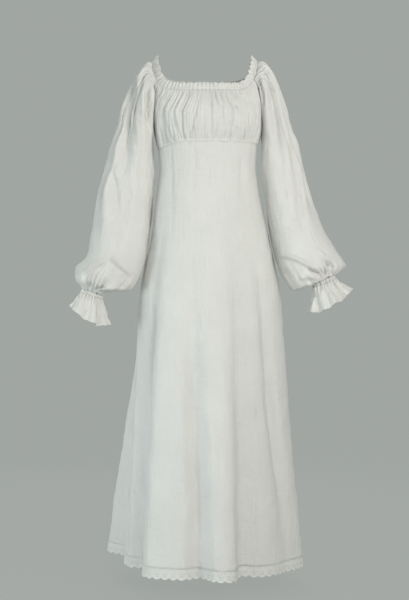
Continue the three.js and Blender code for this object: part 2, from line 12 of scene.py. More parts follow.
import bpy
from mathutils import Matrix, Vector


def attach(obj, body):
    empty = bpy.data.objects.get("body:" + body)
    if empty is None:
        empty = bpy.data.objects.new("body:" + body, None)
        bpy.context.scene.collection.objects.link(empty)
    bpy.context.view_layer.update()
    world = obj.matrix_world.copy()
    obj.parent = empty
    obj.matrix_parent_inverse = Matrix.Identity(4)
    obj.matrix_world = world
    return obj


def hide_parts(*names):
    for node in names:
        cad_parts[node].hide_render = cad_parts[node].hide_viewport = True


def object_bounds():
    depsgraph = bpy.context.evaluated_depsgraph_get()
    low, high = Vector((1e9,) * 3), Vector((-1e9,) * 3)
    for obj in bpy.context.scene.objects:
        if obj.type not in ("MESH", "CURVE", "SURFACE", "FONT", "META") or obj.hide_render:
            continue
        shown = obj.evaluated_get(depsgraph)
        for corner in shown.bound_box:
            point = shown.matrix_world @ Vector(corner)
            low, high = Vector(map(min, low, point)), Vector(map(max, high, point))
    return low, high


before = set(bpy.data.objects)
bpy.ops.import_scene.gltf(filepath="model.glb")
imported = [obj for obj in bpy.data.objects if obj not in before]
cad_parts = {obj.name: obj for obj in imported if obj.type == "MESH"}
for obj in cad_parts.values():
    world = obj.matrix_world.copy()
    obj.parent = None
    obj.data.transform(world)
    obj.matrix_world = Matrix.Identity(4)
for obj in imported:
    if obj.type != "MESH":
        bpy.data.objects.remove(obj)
packed_low, packed_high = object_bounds()
print("packed pieces:", ", ".join(sorted(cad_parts)))
print("packed size in metres:", [round(high - low, 3) for low, high in zip(packed_low, packed_high)])

# %% [markdown]
# ## The camera
# A garment is best seen from far away with a long lens, which keeps its sides upright and its folds in
# proportion. A shorter lens from nearby would make the bust swell and the hem shrink. The camera stands
# level, about halfway up the dress and four metres in front of it. The dress faces -Y, so the camera looks
# along +Y.

# %% Camera
import math

import bpy

CAMERA_AT = (-0.007, -4.0, -0.63)
LENS, SENSOR = 88.9, 36  # millimetres; the sensor's longer side stands upright

camera_data = bpy.data.cameras.new("camera")
camera_data.lens = LENS
camera_data.sensor_width = SENSOR
camera = bpy.data.objects.new("camera", camera_data)
camera.location = CAMERA_AT
camera.rotation_euler = (math.pi / 2, 0, 0)
bpy.context.scene.collection.objects.link(camera)
bpy.context.scene.camera = camera
seen_high = -CAMERA_AT[1] * SENSOR / LENS
print("the camera sees", round(seen_high, 2), "metres from top to bottom")

# %% [markdown]
# ## The light
# White cloth shows its folds only if the light is soft but not flat. A single lamp would burn the front
# and blacken the folds, and light from all round would erase them. Here the grey-green room gives about
# half of the light, evenly from every side, and four soft boxes give the rest.
#
# The key light stands in front, above the shoulders and on the wearer's left, and it draws the folds. A
# weak fill light from the other side softens their shadows. A low, cooler one, with a narrow beam, shines
# along that side of the skirt, and the last one lights the back. The view transform is the standard one,
# so that white stays a clean white.

# %% Room and soft boxes
import mathutils

ROOM_COLOUR = (0.356, 0.381, 0.361)

# name, stand, target, width, watts, beam in degrees, colour
SOFT_BOXES = [
    ("key_light", (1.5, -3.0, 0.35), (0, 0, 0.0), 1.8, 24.4, 100, (1.0, 0.965, 0.91)),
    ("fill_light", (-2.0, -2.6, -0.4), (0, 0, -0.25), 1.8, 2.6, 100, (1.0, 0.985, 0.965)),
    ("low_light", (-3.1, -1.3, -1.0), (-0.2, 0.1, -1.15), 1.4, 5.2, 50, (0.88, 0.975, 1.0)),
    ("back_light", (-0.6, 3.4, 0.1), (0, 0, -0.25), 1.8, 16, 100, (1.0, 0.98, 0.95)),
]

room = bpy.data.worlds.new("room")
room.use_nodes = True
room.node_tree.nodes["Background"].inputs["Color"].default_value = (*ROOM_COLOUR, 1)
bpy.context.scene.world = room
bpy.context.scene.view_settings.view_transform = "Standard"

for name, stand, target, wide, watts, beam, colour in SOFT_BOXES:
    lamp = bpy.data.lights.new(name, "AREA")
    lamp.size = wide
    lamp.energy = watts
    lamp.color = colour
    lamp.spread = math.radians(beam)
    soft_box = bpy.data.objects.new(name, lamp)
    soft_box.location = stand
    towards = mathutils.Vector(target) - mathutils.Vector(stand)
    soft_box.rotation_euler = towards.to_track_quat("-Z", "Y").to_euler()
    soft_box.visible_camera = False
    bpy.context.scene.collection.objects.link(soft_box)
    print(f"{name}: {watts} watts from {towards.length:.1f} metres")

# %% [markdown]
# ## The floor
# The studio floor is a plain pale disc just below the hem. A white floor under a grey wall would draw a
# hard horizon behind the dress. This one glows by itself with most of the room's colour and takes light
# only a little, so it meets the room without a line and still catches a faint shadow.

# %% Floor
import numpy as np

FLOOR_DROP = 0.05  # how far the floor lies below the hem
FLOOR_RADIUS = 9
FLOOR_GLOW = 0.93  # the share of its colour that it gives by itself


def set_input(tree, socket, value):
    """Give a node's input a value, or link it to another node's output."""
    if isinstance(value, bpy.types.NodeSocket):
        tree.links.new(value, socket)
    else:
        socket.default_value = value


def add_node(tree, kind, **inputs):
    """A new shader node. Inputs go by name, with _ for a space."""
    made = tree.nodes.new(kind)
    for name, value in inputs.items():
        set_input(tree, made.inputs[name.replace("_", " ")], value)
    return made


def new_material(name):
    """An empty material with its node tree and its output node."""
    material = bpy.data.materials.new(name)
    material.use_nodes = True
    material.node_tree.nodes.clear()
    return material, material.node_tree, material.node_tree.nodes.new("ShaderNodeOutputMaterial")


floor_material, tree, output = new_material("pale_floor")
glow = add_node(tree, "ShaderNodeEmission", Color=(*ROOM_COLOUR, 1))
matt = add_node(tree, "ShaderNodeBsdfDiffuse", Color=(0.95, 0.95, 0.95, 1))
both = add_node(tree, "ShaderNodeMixShader", Fac=1 - FLOOR_GLOW)
tree.links.new(glow.outputs[0], both.inputs[1])
tree.links.new(matt.outputs[0], both.inputs[2])
tree.links.new(both.outputs[0], output.inputs["Surface"])

bpy.ops.mesh.primitive_circle_add(
    vertices=96, radius=FLOOR_RADIUS, fill_type="NGON", location=(0, 0, packed_low.z - FLOOR_DROP)
)
floor = bpy.context.object
floor.name = "floor"
floor.data.materials.append(floor_material)
print("floor at", round(floor.location.z, 3), "metres")

# %% [markdown]
# ## Smooth curves through a few sizes
# A dress is drawn from a handful of sizes: how wide it is at the bust, at the waist, at the hem. Straight
# lines between them would leave corners, so one helper runs a smooth curve through the rows of any table.
# The slope at each row comes from its neighbours, which is enough for cloth and easy to follow. The tables
# go down from the shoulders, in metres, so "down" is a positive number where z is a negative one.


# %% Easy curves
def smooth_step(t):
    """0 below 0, 1 above 1, and an easy curve between."""
    t = np.clip(t, 0, 1)
    return t * t * (3 - 2 * t)


def bump(t):
    """A soft bell: 1 at 0, gone by about 2."""
    return np.exp(-t * t)


def cleft(t):
    """The same with a sharp top, which makes a crease when it goes inwards."""
    return np.exp(-np.abs(t) ** 1.15)


def mix(a, b, t):
    """From a to b, t of the way."""
    return a + (b - a) * t


print("a quarter of the way up an easy curve:", round(float(smooth_step(0.25)), 3))


# %% A curve through the rows of a table
def through(at, places, values):
    """A smooth curve through values at places, read at any places; values may be numbers or points."""
    places, values = np.asarray(places, float), np.asarray(values, float)

    def spread(numbers):
        return numbers.reshape(numbers.shape + (1,) * (values.ndim - 1))

    last = len(places) - 1
    rows = np.arange(last + 1)
    before, after = np.clip(rows - 1, 0, last), np.clip(rows + 1, 0, last)
    slopes = (values[after] - values[before]) / spread(places[after] - places[before])
    i = np.clip(np.searchsorted(places, at, side="right") - 1, 0, last - 1)
    step = spread(places[i + 1] - places[i])
    t = spread(np.asarray(at, float) - places[i]) / step
    t2, t3 = t * t, t * t * t
    bend = (t3 - 2 * t2 + t) * step * slopes[i] + (t3 - t2) * step * slopes[i + 1]
    return (2 * t3 - 3 * t2 + 1) * values[i] + (3 * t2 - 2 * t3) * values[i + 1] + bend


def round_through(turn, turns, values):
    """The same round a closed outline, whose rows go by turn in degrees."""
    first = turns[0]
    turns = np.concatenate([turns[-2:] - 360, turns, turns[:3] + 360])
    values = np.concatenate([values[-2:], values, values[:3]])
    return through((turn - first) % 360 + first, turns, values)


def sine_cosine(turn):
    """Both, of an angle in degrees."""
    return np.sin(np.radians(turn)), np.cos(np.radians(turn))


def place(x, y, z):
    """Points from their three coordinates."""
    return np.stack(np.broadcast_arrays(x, y, z), axis=-1)


print("halfway between rows 1 and 4 of a curve:", round(float(through(0.5, [0, 1, 2], [1, 4, 5])), 2))

# %% [markdown]
# ## The cut of the dress
# These are the dress's own sizes. The neckline is a wide scoop, flat in front and rounded over the
# shoulders. The body narrows at the high waist and widens to the hem. The hem is written as an outline
# seen from above, because it is at the hem that a hanging skirt shows its folds: each row says where the
# cloth that hangs from a given angle of the waist ends up, and how far down it leaves the smooth body to
# get there. Angles go round the body in degrees, from the middle of the front towards the wearer's left.

# %% Sizes
CLOTH = 0.0008  # thickness of the cotton
SIDE = 90  # angle of the side seams
NECK_LEFT, NECK_RIGHT, NECK_FRONT, NECK_BACK = 0.136, 0.149, 0.098, 0.082
NECK_TOP = 0.0125  # the neckline over the shoulders, above the origin
NECK_FRONT_DROP, NECK_BACK_DROP = 0.0875, 0.0615
NECK_ROUND, NECK_SQUARE = 0.15, 7  # how soft the neckline's corners are, and how close to square it is
NECK_TIP = 0.85  # how much the casing and frill tip towards the neck over the shoulders
NECK_CASING_HIGH = 0.006
# where a raglan seam leaves the neckline, in degrees before the side, where on the panel it reaches the
# underarm, and how much it bends
RAGLAN_LEAVES, RAGLAN_UNDERARM, RAGLAN_BEND = 24, 0.4, 1.5
WAIST_DOWN, WAIST_DIP = 0.210, 0.019  # the waist seam, and how much lower it runs at the wearer's right
LACE_DOWN, HEM_DOWN = 1.322, 1.350  # the skirt's edge, where its trim comes out, and the trim's lowest line
FOLD_GROWTH = 1.2  # 1 for straight cones, above 1 for cones that open towards the hem

BODY = {
    "down": [0.190, 0.225, 0.280, 0.360, 0.468, 0.576, 0.738, 0.954, 1.170, 1.350],
    "left": [0.138, 0.133, 0.131, 0.143, 0.167, 0.189, 0.203, 0.218, 0.237, 0.252],
    "right": [0.134, 0.131, 0.128, 0.138, 0.151, 0.177, 0.196, 0.216, 0.236, 0.250],
    "front": [0.108, 0.103, 0.101, 0.108, 0.122, 0.136, 0.149, 0.164, 0.178, 0.190],
    "back": [0.087, 0.084, 0.084, 0.098, 0.124, 0.150, 0.172, 0.194, 0.217, 0.238],
}
BUST = {"left": 0.172, "right": 0.158, "front": 0.155, "back": 0.102}
BUST_DOWN = {"side": 0.150, "front": 0.135, "back": 0.130}
print("from the neckline in front to the hem:", round(NECK_TOP - NECK_FRONT_DROP + HEM_DOWN, 3), "metres")

# %% The hem's outline
# angle at the waist, x and y of the hem, how far down its fold starts, how far the hem is lifted
HEM = np.array([
    (-124, -0.279, 0.236, 0.37, 0.008), (-118, -0.272, 0.186, 0.37, 0.007),
    (-112, -0.236, 0.150, 0.39, 0.006), (-105, -0.206, 0.118, 0.42, 0.004),
    (-98, -0.226, 0.052, 0.46, 0.002), (-90, -0.212, -0.004, 0.46, 0), (-82, -0.182, -0.026, 0.46, 0),
    (-66, -0.148, -0.046, 0.42, 0.002), (-51, -0.144, -0.080, 0.40, 0.002), (-43, -0.171, -0.124, 0.40, 0),
    (-38, -0.157, -0.166, 0.42, 0), (-30, -0.110, -0.190, 0.44, 0), (-22, -0.058, -0.198, 0.42, 0),
    (-15, -0.020, -0.176, 0.38, 0), (-10, 0.002, -0.204, 0.36, 0), (-5, 0.018, -0.226, 0.35, 0),
    (6, 0.042, -0.234, 0.33, 0), (15, 0.068, -0.228, 0.36, 0), (19, 0.076, -0.210, 0.38, 0),
    (22, 0.080, -0.182, 0.44, 0.002), (25, 0.090, -0.164, 0.46, 0.004), (28, 0.106, -0.158, 0.46, 0.002),
    (32, 0.126, -0.156, 0.42, 0), (37, 0.147, -0.153, 0.40, 0), (45, 0.180, -0.126, 0.42, 0),
    (56, 0.208, -0.084, 0.46, 0), (70, 0.237, -0.042, 0.50, 0), (84, 0.256, -0.004, 0.50, 0),
    (96, 0.258, 0.045, 0.48, 0), (106, 0.236, 0.088, 0.46, 0.003), (116, 0.242, 0.140, 0.43, 0),
    (126, 0.232, 0.182, 0.40, 0), (136, 0.188, 0.196, 0.35, 0.004), (146, 0.166, 0.240, 0.33, 0),
    (156, 0.122, 0.260, 0.34, 0), (166, 0.082, 0.230, 0.38, 0.004), (176, 0.042, 0.248, 0.43, 0),
    (186, 0.000, 0.264, 0.42, 0), (195, -0.040, 0.238, 0.35, 0.004), (204, -0.084, 0.240, 0.34, 0),
    (212, -0.124, 0.262, 0.36, 0), (219, -0.160, 0.242, 0.40, 0.002), (225, -0.196, 0.240, 0.40, 0.005),
    (231, -0.246, 0.262, 0.38, 0.008),
])
HEM_TURN, HEM_X, HEM_Y, HEM_START, HEM_LIFT = HEM.T

# A shallow hollow: its angle at the top and at the bottom, how far down it starts, is deepest and ends,
# how far it stands out, and how many degrees wide each of its flanks is.
SKIRT_FOLDS = [
    (44, 62, 0.38, 0.95, 1.39, -0.020, 6),
    (-53, -56, 0.42, 0.74, 1.10, -0.012, 5),
]
print("hem outline:", len(HEM), "points, seen from above")

# %% [markdown]
# ## The form of the dress
# Each sewn piece is a surface that two numbers run over: an angle round the body and a share or a depth
# down it. A sculpted mesh could look as good, but a formula lets neighbouring pieces share their seams
# exactly, and lets each be made as fine as its gathers need. The functions here give points of the bare
# form. Gathers and creases come later.


# %% The neckline and the smooth body
def neckline(turn):
    """The line where the neck casing meets the bodice and the sleeves."""
    s, c = sine_cosine(turn)
    drop = mix(NECK_BACK_DROP, NECK_FRONT_DROP, smooth_step((c + 1) / 2))
    crown = np.sqrt(1 - np.abs(s) ** NECK_SQUARE + NECK_ROUND**2) - NECK_ROUND
    flat = math.sqrt(1 + NECK_ROUND**2) - NECK_ROUND
    wide, reach = np.where(s >= 0, NECK_LEFT, NECK_RIGHT), np.where(c >= 0, NECK_FRONT, NECK_BACK)
    return place(wide * s, -reach * c, NECK_TOP - drop * crown / flat)


def body_at(turn, down):
    """The smooth body of the dress, with no folds."""
    s, c = sine_cosine(turn)
    wide = np.where(s >= 0, *(through(down, BODY["down"], BODY[side]) for side in ("left", "right")))
    deep = np.where(c >= 0, *(through(down, BODY["down"], BODY[side]) for side in ("front", "back")))
    return place(wide * s, -deep * c, -down)


def waist_down(turn):
    """The high waist seam, which dips at the wearer's right side."""
    return WAIST_DOWN + WAIST_DIP * np.maximum(0, -sine_cosine(turn)[0]) ** 4


print("the waist seam at the wearer's right:", body_at(-90, waist_down(-90)).round(3))


# %% The form of the bodice
def bodice_at(turn, share):
    """The bodice from the neckline, share 0, over the bust to the waist seam, share 1."""
    s, c = sine_cosine(turn)
    wide = np.where(s >= 0, BUST["left"], BUST["right"])
    deep = np.where(c >= 0, BUST["front"], BUST["back"])
    full_down = mix(BUST_DOWN["side"], np.where(c >= 0, BUST_DOWN["front"], BUST_DOWN["back"]), c * c)
    full = place(wide * s, -deep * c, -full_down)
    t = np.asarray(share, float)[..., None]
    return (1 - t) ** 2 * neckline(turn) + 2 * t * (1 - t) * full + t * t * body_at(turn, waist_down(turn))


print("the bust, middle of the front:", bodice_at(0, 0.5).round(3))


# %% The form of the skirt
def rise_and_fall(at, start, full, end):
    """From 0 up to 1 at full, and back to 0."""
    return smooth_step((at - start) / (full - start)) * smooth_step((end - at) / (end - full))


def turn_between(a, b):
    """The shortest signed way round from a to b, in degrees."""
    return (b - a + 180) % 360 - 180


def skirt_at(turn, down):
    """The skirt with its hanging folds."""
    x, y, start, lift = (round_through(turn, HEM_TURN, v) for v in (HEM_X, HEM_Y, HEM_START, HEM_LIFT))
    straight = body_at(turn, HEM_DOWN + 0 * turn)
    grown = np.clip((down - start) / (HEM_DOWN - start), 0, 1) ** FOLD_GROWTH
    points = body_at(turn, down) + place(x - straight[..., 0], y - straight[..., 1], lift) * grown[..., None]
    s, c = sine_cosine(turn)
    for top, bottom, start, full, end, out, spread in SKIRT_FOLDS:
        middle = mix(top, bottom, np.clip((down - start) / (end - start), 0, 1))
        push = out * rise_and_fall(down, start, full, end) * bump(turn_between(middle, turn) / spread)
        points += push[..., None] * place(s, -c, 0 * s)
    return points


print("hem, middle of the front:", skirt_at(np.array(0.0), np.array(HEM_DOWN)).round(3))

# %% [markdown]
# ## The flat cut
# Every piece was flat once, and wider than it looks now, because its spare cloth went into the gathers.
# This table says how each was cut, and how much cloth the finished dress would take. The skirt's panels flare
# and the sleeves' heads slant, so those take less than their width times their length.

# %% The flat cut
# width, length, area, how it is held, what it hangs from
CUT = {
    "bodice_front": (0.46, 0.200, 0.086, "gathered", "neck_casing"),
    "bodice_back": (0.42, 0.190, 0.077, "gathered", "neck_casing"),
    "neck_casing": (0.83, 0.010, 0.0065, "stretched", "neck_frill"),
    "neck_frill": (1.05, 0.020, 0.021, "gathered", "neck_casing"),
    "sleeve_right": (0.60, 0.680, 0.355, "gathered", "neck_casing"),
    "sleeve_left": (0.60, 0.640, 0.335, "gathered", "neck_casing"),
    "wrist_casing_right": (0.21, 0.012, 0.0025, "stretched", "sleeve_right"),
    "wrist_casing_left": (0.21, 0.012, 0.0025, "stretched", "sleeve_left"),
    "cuff_frill_right": (0.42, 0.055, 0.0231, "gathered", "wrist_casing_right"),
    "cuff_frill_left": (0.42, 0.055, 0.0231, "gathered", "wrist_casing_left"),
    "skirt_front": (0.94, 1.120, 0.705, "hung", "bodice_front"),
    "skirt_back": (1.04, 1.120, 0.760, "hung", "bodice_back"),
    "hem_lace_front": (0.94, 0.032, 0.028, "hung", "skirt_front"),
    "hem_lace_back": (1.04, 0.032, 0.031, "hung", "skirt_back"),
}
print("cotton to cut:", round(sum(row[2] for row in CUT.values()), 2), "square metres")

# %% [markdown]
# ## From points to cloth
# A piece of cloth is a grid of points: rows down it and columns round it. The grid becomes a mesh whose
# texture coordinates are real lengths in metres, measured from the middle of the piece as on the flat cut,
# so that a weave can later follow the grain. On a piece that is drawn up on a seam, the threads that run
# down stay in their columns although the seam is shorter than the cloth below it. So all its rows are given
# the same lengths. With each row's own lengths, the weave would lean over more and more towards the sides.
# Real cloth has a thickness, and a Solidify modifier gives it one. A grid was chosen over a cloth
# simulation because this dress hangs still, and each of its gathers has a place.


# %% Cloth
def lengths_along(points, axis):
    """Distances along the rows or the columns of a grid of points, from its start."""
    steps = np.linalg.norm(np.diff(points, axis=axis), axis=-1)
    return np.insert(np.cumsum(steps, axis=axis), 0, 0, axis=axis)


def normals_of(points, closed=False):
    """Straight out of the cloth at each point of a grid."""
    if closed:
        across = np.roll(points, -1, axis=1) - np.roll(points, 1, axis=1)
    else:
        across = np.gradient(points, axis=1)
    normals = np.cross(np.gradient(points, axis=0), across)
    return normals / np.maximum(np.linalg.norm(normals, axis=-1, keepdims=True), 1e-9)


def grid_mesh(name, points, closed=False, drawn_up=False):
    """A mesh from rows of points, with its flat lengths in metres as texture coordinates. On a drawn-up
    piece the threads that run down stay in their columns, so every row is given the same lengths."""
    rows, columns = points.shape[:2]
    looped = np.concatenate([points, points[:, :1]], axis=1) if closed else points
    across = lengths_along(looped, 1)
    if drawn_up:
        across = np.broadcast_to(across.mean(axis=0), across.shape)
    across = across - across[:, across.shape[1] // 2][:, None]
    down = lengths_along(looped, 0)
    if drawn_up:
        down = np.broadcast_to(down.mean(axis=1)[:, None], down.shape)
    i, j = np.meshgrid(np.arange(rows - 1), np.arange(looped.shape[1] - 1), indexing="ij")
    corners = [(i, j), (i + 1, j), (i + 1, j + 1), (i, j + 1)]
    faces = np.stack([a * columns + b % columns for a, b in corners], axis=-1).reshape(-1, 4)
    flat = np.stack([np.stack([across[a, b], down[a, b]], axis=-1) for a, b in corners], axis=2)
    mesh = bpy.data.meshes.new(name)
    mesh.from_pydata(points.reshape(-1, 3).tolist(), [], faces.tolist(), shade_flat=False)
    mesh.uv_layers.new(name="flat").uv.foreach_set("vector", flat.reshape(-1).astype(np.float32))
    return mesh


square = place(*np.meshgrid((0, 0.1), (0, 0.1)), 0)
print("a test square is", lengths_along(square, 1)[0, -1], "metres across")


# %% Sewing a piece on
def sew_on(name, mesh, material, thickness=CLOTH):
    """A sewn piece of the dress: it has a finish and a thickness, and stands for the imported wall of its
    name."""
    mesh.materials.append(material)
    piece = bpy.data.objects.new(f"{name}_cloth", mesh)
    bpy.context.scene.collection.objects.link(piece)
    wall = piece.modifiers.new("thickness", "SOLIDIFY")
    wall.thickness = thickness
    wall.offset = 0
    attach(piece, "root")
    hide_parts(name)


def cloth_piece(name, points, closed=False):
    """A sewn piece of the main cotton, made from a grid of points."""
    mesh = grid_mesh(name, points, closed, drawn_up=CUT[name][3] != "hung")
    sew_on(name, mesh, white_cotton)


print(len(CUT), "pieces to sew, in cotton", CLOTH, "metres thick")


# %% [markdown]
# ## Gathers
# When a wide piece is drawn up on a short seam, the spare cloth stands in small folds that start at the
# seam and die away at different distances. Evenly repeated waves look like corrugated card. So each gather
# gets its own place, depth, reach and lean from a seeded random generator, which draws the same numbers on
# every run. They are valleys rather than waves, because gathered cloth is round on top and sharp in its
# creases.


# %% Gathers
GATHER_LIFT = 0.55  # how far the cloth between gathers stands out, as a share of how deep they are


def gathers(along, away, first, last, spacing, deep, reach, seed, round_it=None):
    """How far the gathers of a seam push the cloth in or out. along runs on the seam, and away is the
    distance from it. first, last and spacing place them, and reach is how far they run. round_it is a
    closed seam's length."""
    draw = np.random.default_rng(seed)
    count = round((last - first) / spacing)
    push = np.zeros(np.broadcast_shapes(along.shape, away.shape))
    seam = mix(0.5, 1, smooth_step(away / (0.2 * reach)))
    for k in range(count):
        middle = first + (k + 0.5 + draw.uniform(-0.35, 0.35)) * spacing
        depth, run = deep * draw.uniform(0.45, 1.5), reach * draw.uniform(0.35, 1.7)
        width = spacing * draw.uniform(0.26, 0.42)
        lean = draw.normal(0, 0.6) * spacing / reach
        across = along - middle - lean * away
        if round_it:
            across = (across + round_it / 2) % round_it - round_it / 2
        fade = np.exp(-((away / run) ** 2))
        push -= depth * cleft(across / (width * (1 + away / reach))) * fade
    lift = GATHER_LIFT * deep * np.exp(-((away / reach) ** 2))
    return (push + lift) * seam


sample = gathers(np.linspace(0, 0.1, 200), np.array(0.0), 0, 0.1, 0.01, 0.002, 0.1, seed=1)
print("ten sample gathers lie from", round(sample.min(), 4), "to", round(sample.max(), 4), "metres out")


# %% [markdown]
# ## Creases and crumples
# The larger folds are placed one by one, as a dresser would pinch them. Each is drawn as a line seen from
# one side of the dress, and it is pressed into the cloth that faces that side: a trough if it goes in, a
# ridge if it stands out. A fold is narrow where it is held and wide where it hangs free, so each has a
# width for its start and one for its end. Last comes the crumple, very low waves in all directions that
# keep the cloth from looking like plastic.

# %% Creases
# the axis that runs across when seen from a side, the axis that points to it, and which way
FACES = {"front": (0, 1, -1), "back": (0, 1, 1), "left": (1, 0, 1), "right": (1, 0, -1)}
CREASE_STEPS = 28
FACING = 0.4  # how squarely cloth must face a side to take its creases in full
BELL_REACH = 2.5  # widths after which a soft bell is gone
MILLIMETRE = 0.001


def press(points, normals, creases, seen_from):
    """How far creases push a grid of cloth. A crease is (out, width, last width, path), in millimetres:
    how far it stands out, how wide each of its flanks is at its start and at its end, and its path as
    (across, down) seen from that side."""
    side, facing_axis, sign = FACES[seen_from]
    flat = np.stack([points[..., side], -points[..., 2]], axis=-1)
    facing = smooth_step(sign * normals[..., facing_axis] / FACING)
    push = np.zeros(flat.shape[:2])
    for out, width, last_width, path in creases:
        path = np.array(path) * MILLIMETRE
        widths = width * MILLIMETRE, last_width * MILLIMETRE
        run = np.insert(np.cumsum(np.linalg.norm(np.diff(path, axis=0), axis=1)), 0, 0)
        line = through(np.linspace(0, run[-1], CREASE_STEPS + 1), run, path)
        reach = BELL_REACH * max(widths)
        near = np.all((flat > line.min(0) - reach) & (flat < line.max(0) + reach), axis=-1) & (facing > 0)
        spots = flat[near]
        if not len(spots):
            continue
        steps = np.diff(line, axis=0)
        offset = spots[:, None] - line[:-1]
        share = np.clip((offset * steps).sum(-1) / (steps**2).sum(-1), 0, 1)
        gap = np.linalg.norm(offset - share[..., None] * steps, axis=-1)
        nearest = np.argmin(gap, axis=1)
        pick = np.arange(len(spots)), nearest
        done = (nearest + share[pick]) / CREASE_STEPS
        ends = smooth_step(done / 0.25) * smooth_step((1 - done) / 0.4)
        push[near] += out * MILLIMETRE * ends * bump(gap[pick] / mix(*widths, done))
    return push * facing


print("creases can be pressed in from", ", ".join(FACES))

# %% Crumples
CRUMPLE_WAVES = 26


def crumple(points, size, wavelength, seed, upright=0.0):
    """Low waves in every direction, or mostly upright ones, the same on every run."""
    draw = np.random.default_rng(seed)
    total = np.zeros(points.shape[:2])
    for _ in range(CRUMPLE_WAVES):
        direction = draw.normal(size=3) * (1, 1, 1 - upright)
        direction /= np.linalg.norm(direction) * wavelength * draw.uniform(0.55, 1.9)
        total += np.sin(2 * math.pi * (points @ direction + draw.uniform()))
    return size * total / math.sqrt(CRUMPLE_WAVES / 2)


sample = crumple(square, 0.001, 0.05, seed=1)
print("a sample crumple moves the test square's corners by", sample.round(4).tolist(), "metres")

# %% [markdown]
# ## The cotton
# The cloth is a plain-woven cotton, white with a breath of warmth, matt, and thin enough to let some light
# through. Four things make it read as cloth. The threads cross at right angles, a little over one to the
# millimetre. Here and there a thicker thread, a slub, runs for some centimetres. Washing leaves a soft
# crinkle, most of it in the direction of the long threads. And the white is never quite even. All four are
# made by procedural textures that follow the flat lengths of each piece, so that the grain turns with the
# cloth. The light that passes through comes from a small share of translucent shader beside the main one.

# %% Threads, slubs and crinkle
THREAD_PITCH = 0.0008  # metres from thread to thread
WAVE_PERIOD = 0.314  # what a wave texture's period is at scale 1
# how often each noise repeats in a metre, across and down, and which part of it shows
SLUBS = [((22, 900, 1), 0.60, 0.75), ((900, 18, 1), 0.62, 0.78)]
# the same for the crinkle down and across the cloth, and how much of the second is added to the first
CRINKLE_DOWN, CRINKLE_ACROSS, ACROSS_SHARE = (130, 17, 1), (30, 105, 1), 0.6


def flat_texture(tree, flat, kind, scale, **inputs):
    """A procedural texture that follows the flat lengths of a piece."""
    mapping = add_node(tree, "ShaderNodeMapping", Vector=flat, Scale=scale)
    return add_node(tree, kind, Vector=mapping.outputs["Vector"], Scale=1.0, **inputs)


def combine(tree, kind, a, b):
    """The sum, difference or product of two numbers or sockets."""
    made = add_node(tree, "ShaderNodeMath")
    made.operation = kind
    set_input(tree, made.inputs[0], a)
    set_input(tree, made.inputs[1], b)
    return made.outputs["Value"]


def woven_threads(tree, flat):
    """Warp and weft, a fine wave each."""
    scale = WAVE_PERIOD / THREAD_PITCH
    waves = [flat_texture(tree, flat, "ShaderNodeTexWave", (scale, scale, 1)) for _ in "XY"]
    for wave, direction in zip(waves, "XY"):
        wave.bands_direction = direction
    return combine(tree, "ADD", *(wave.outputs["Fac"] for wave in waves))


def thick_threads(tree, flat):
    """Slubs both ways: the peaks of a noise that is long and thin."""
    peaks = []
    for scale, low, high in SLUBS:
        noise = flat_texture(tree, flat, "ShaderNodeTexNoise", scale).outputs["Fac"]
        peaks.append(add_node(tree, "ShaderNodeMapRange", Value=noise, From_Min=low, From_Max=high))
    return combine(tree, "ADD", *(peak.outputs["Result"] for peak in peaks))


def washed_crinkle(tree, flat):
    """Crinkle down the cloth, and less of it across."""
    down, across = (
        flat_texture(tree, flat, "ShaderNodeTexNoise", scale, Detail=5).outputs["Fac"]
        for scale in (CRINKLE_DOWN, CRINKLE_ACROSS)
    )
    return combine(tree, "ADD", down, combine(tree, "MULTIPLY", across, ACROSS_SHARE))


print("threads in a metre:", round(1 / THREAD_PITCH))

# %% Cotton
COTTON_WHITE = (0.80, 0.80, 0.782)
SEE_THROUGH = 0.12  # the share of translucent shader
CRINKLE_HIGH, SLUB_HIGH, THREAD_HIGH = 0.0036, 0.0004, 0.0001  # metres between a texture's 0 and its 1
# how often the white's clouds repeat, how uneven they make it, how much a slub adds to it and stands out
CLOUDS, CLOUD_SHADE, SLUB_SHADE, SLUB_STRENGTH = (9, 9, 1), 0.10, 0.035, 0.35


def bumped(tree, height, strength, high, **under):
    """The normals of a bump, which lies on another one if the Normal of that one is given."""
    made = add_node(tree, "ShaderNodeBump", Height=height, Strength=strength, Distance=high, **under)
    return made.outputs["Normal"]


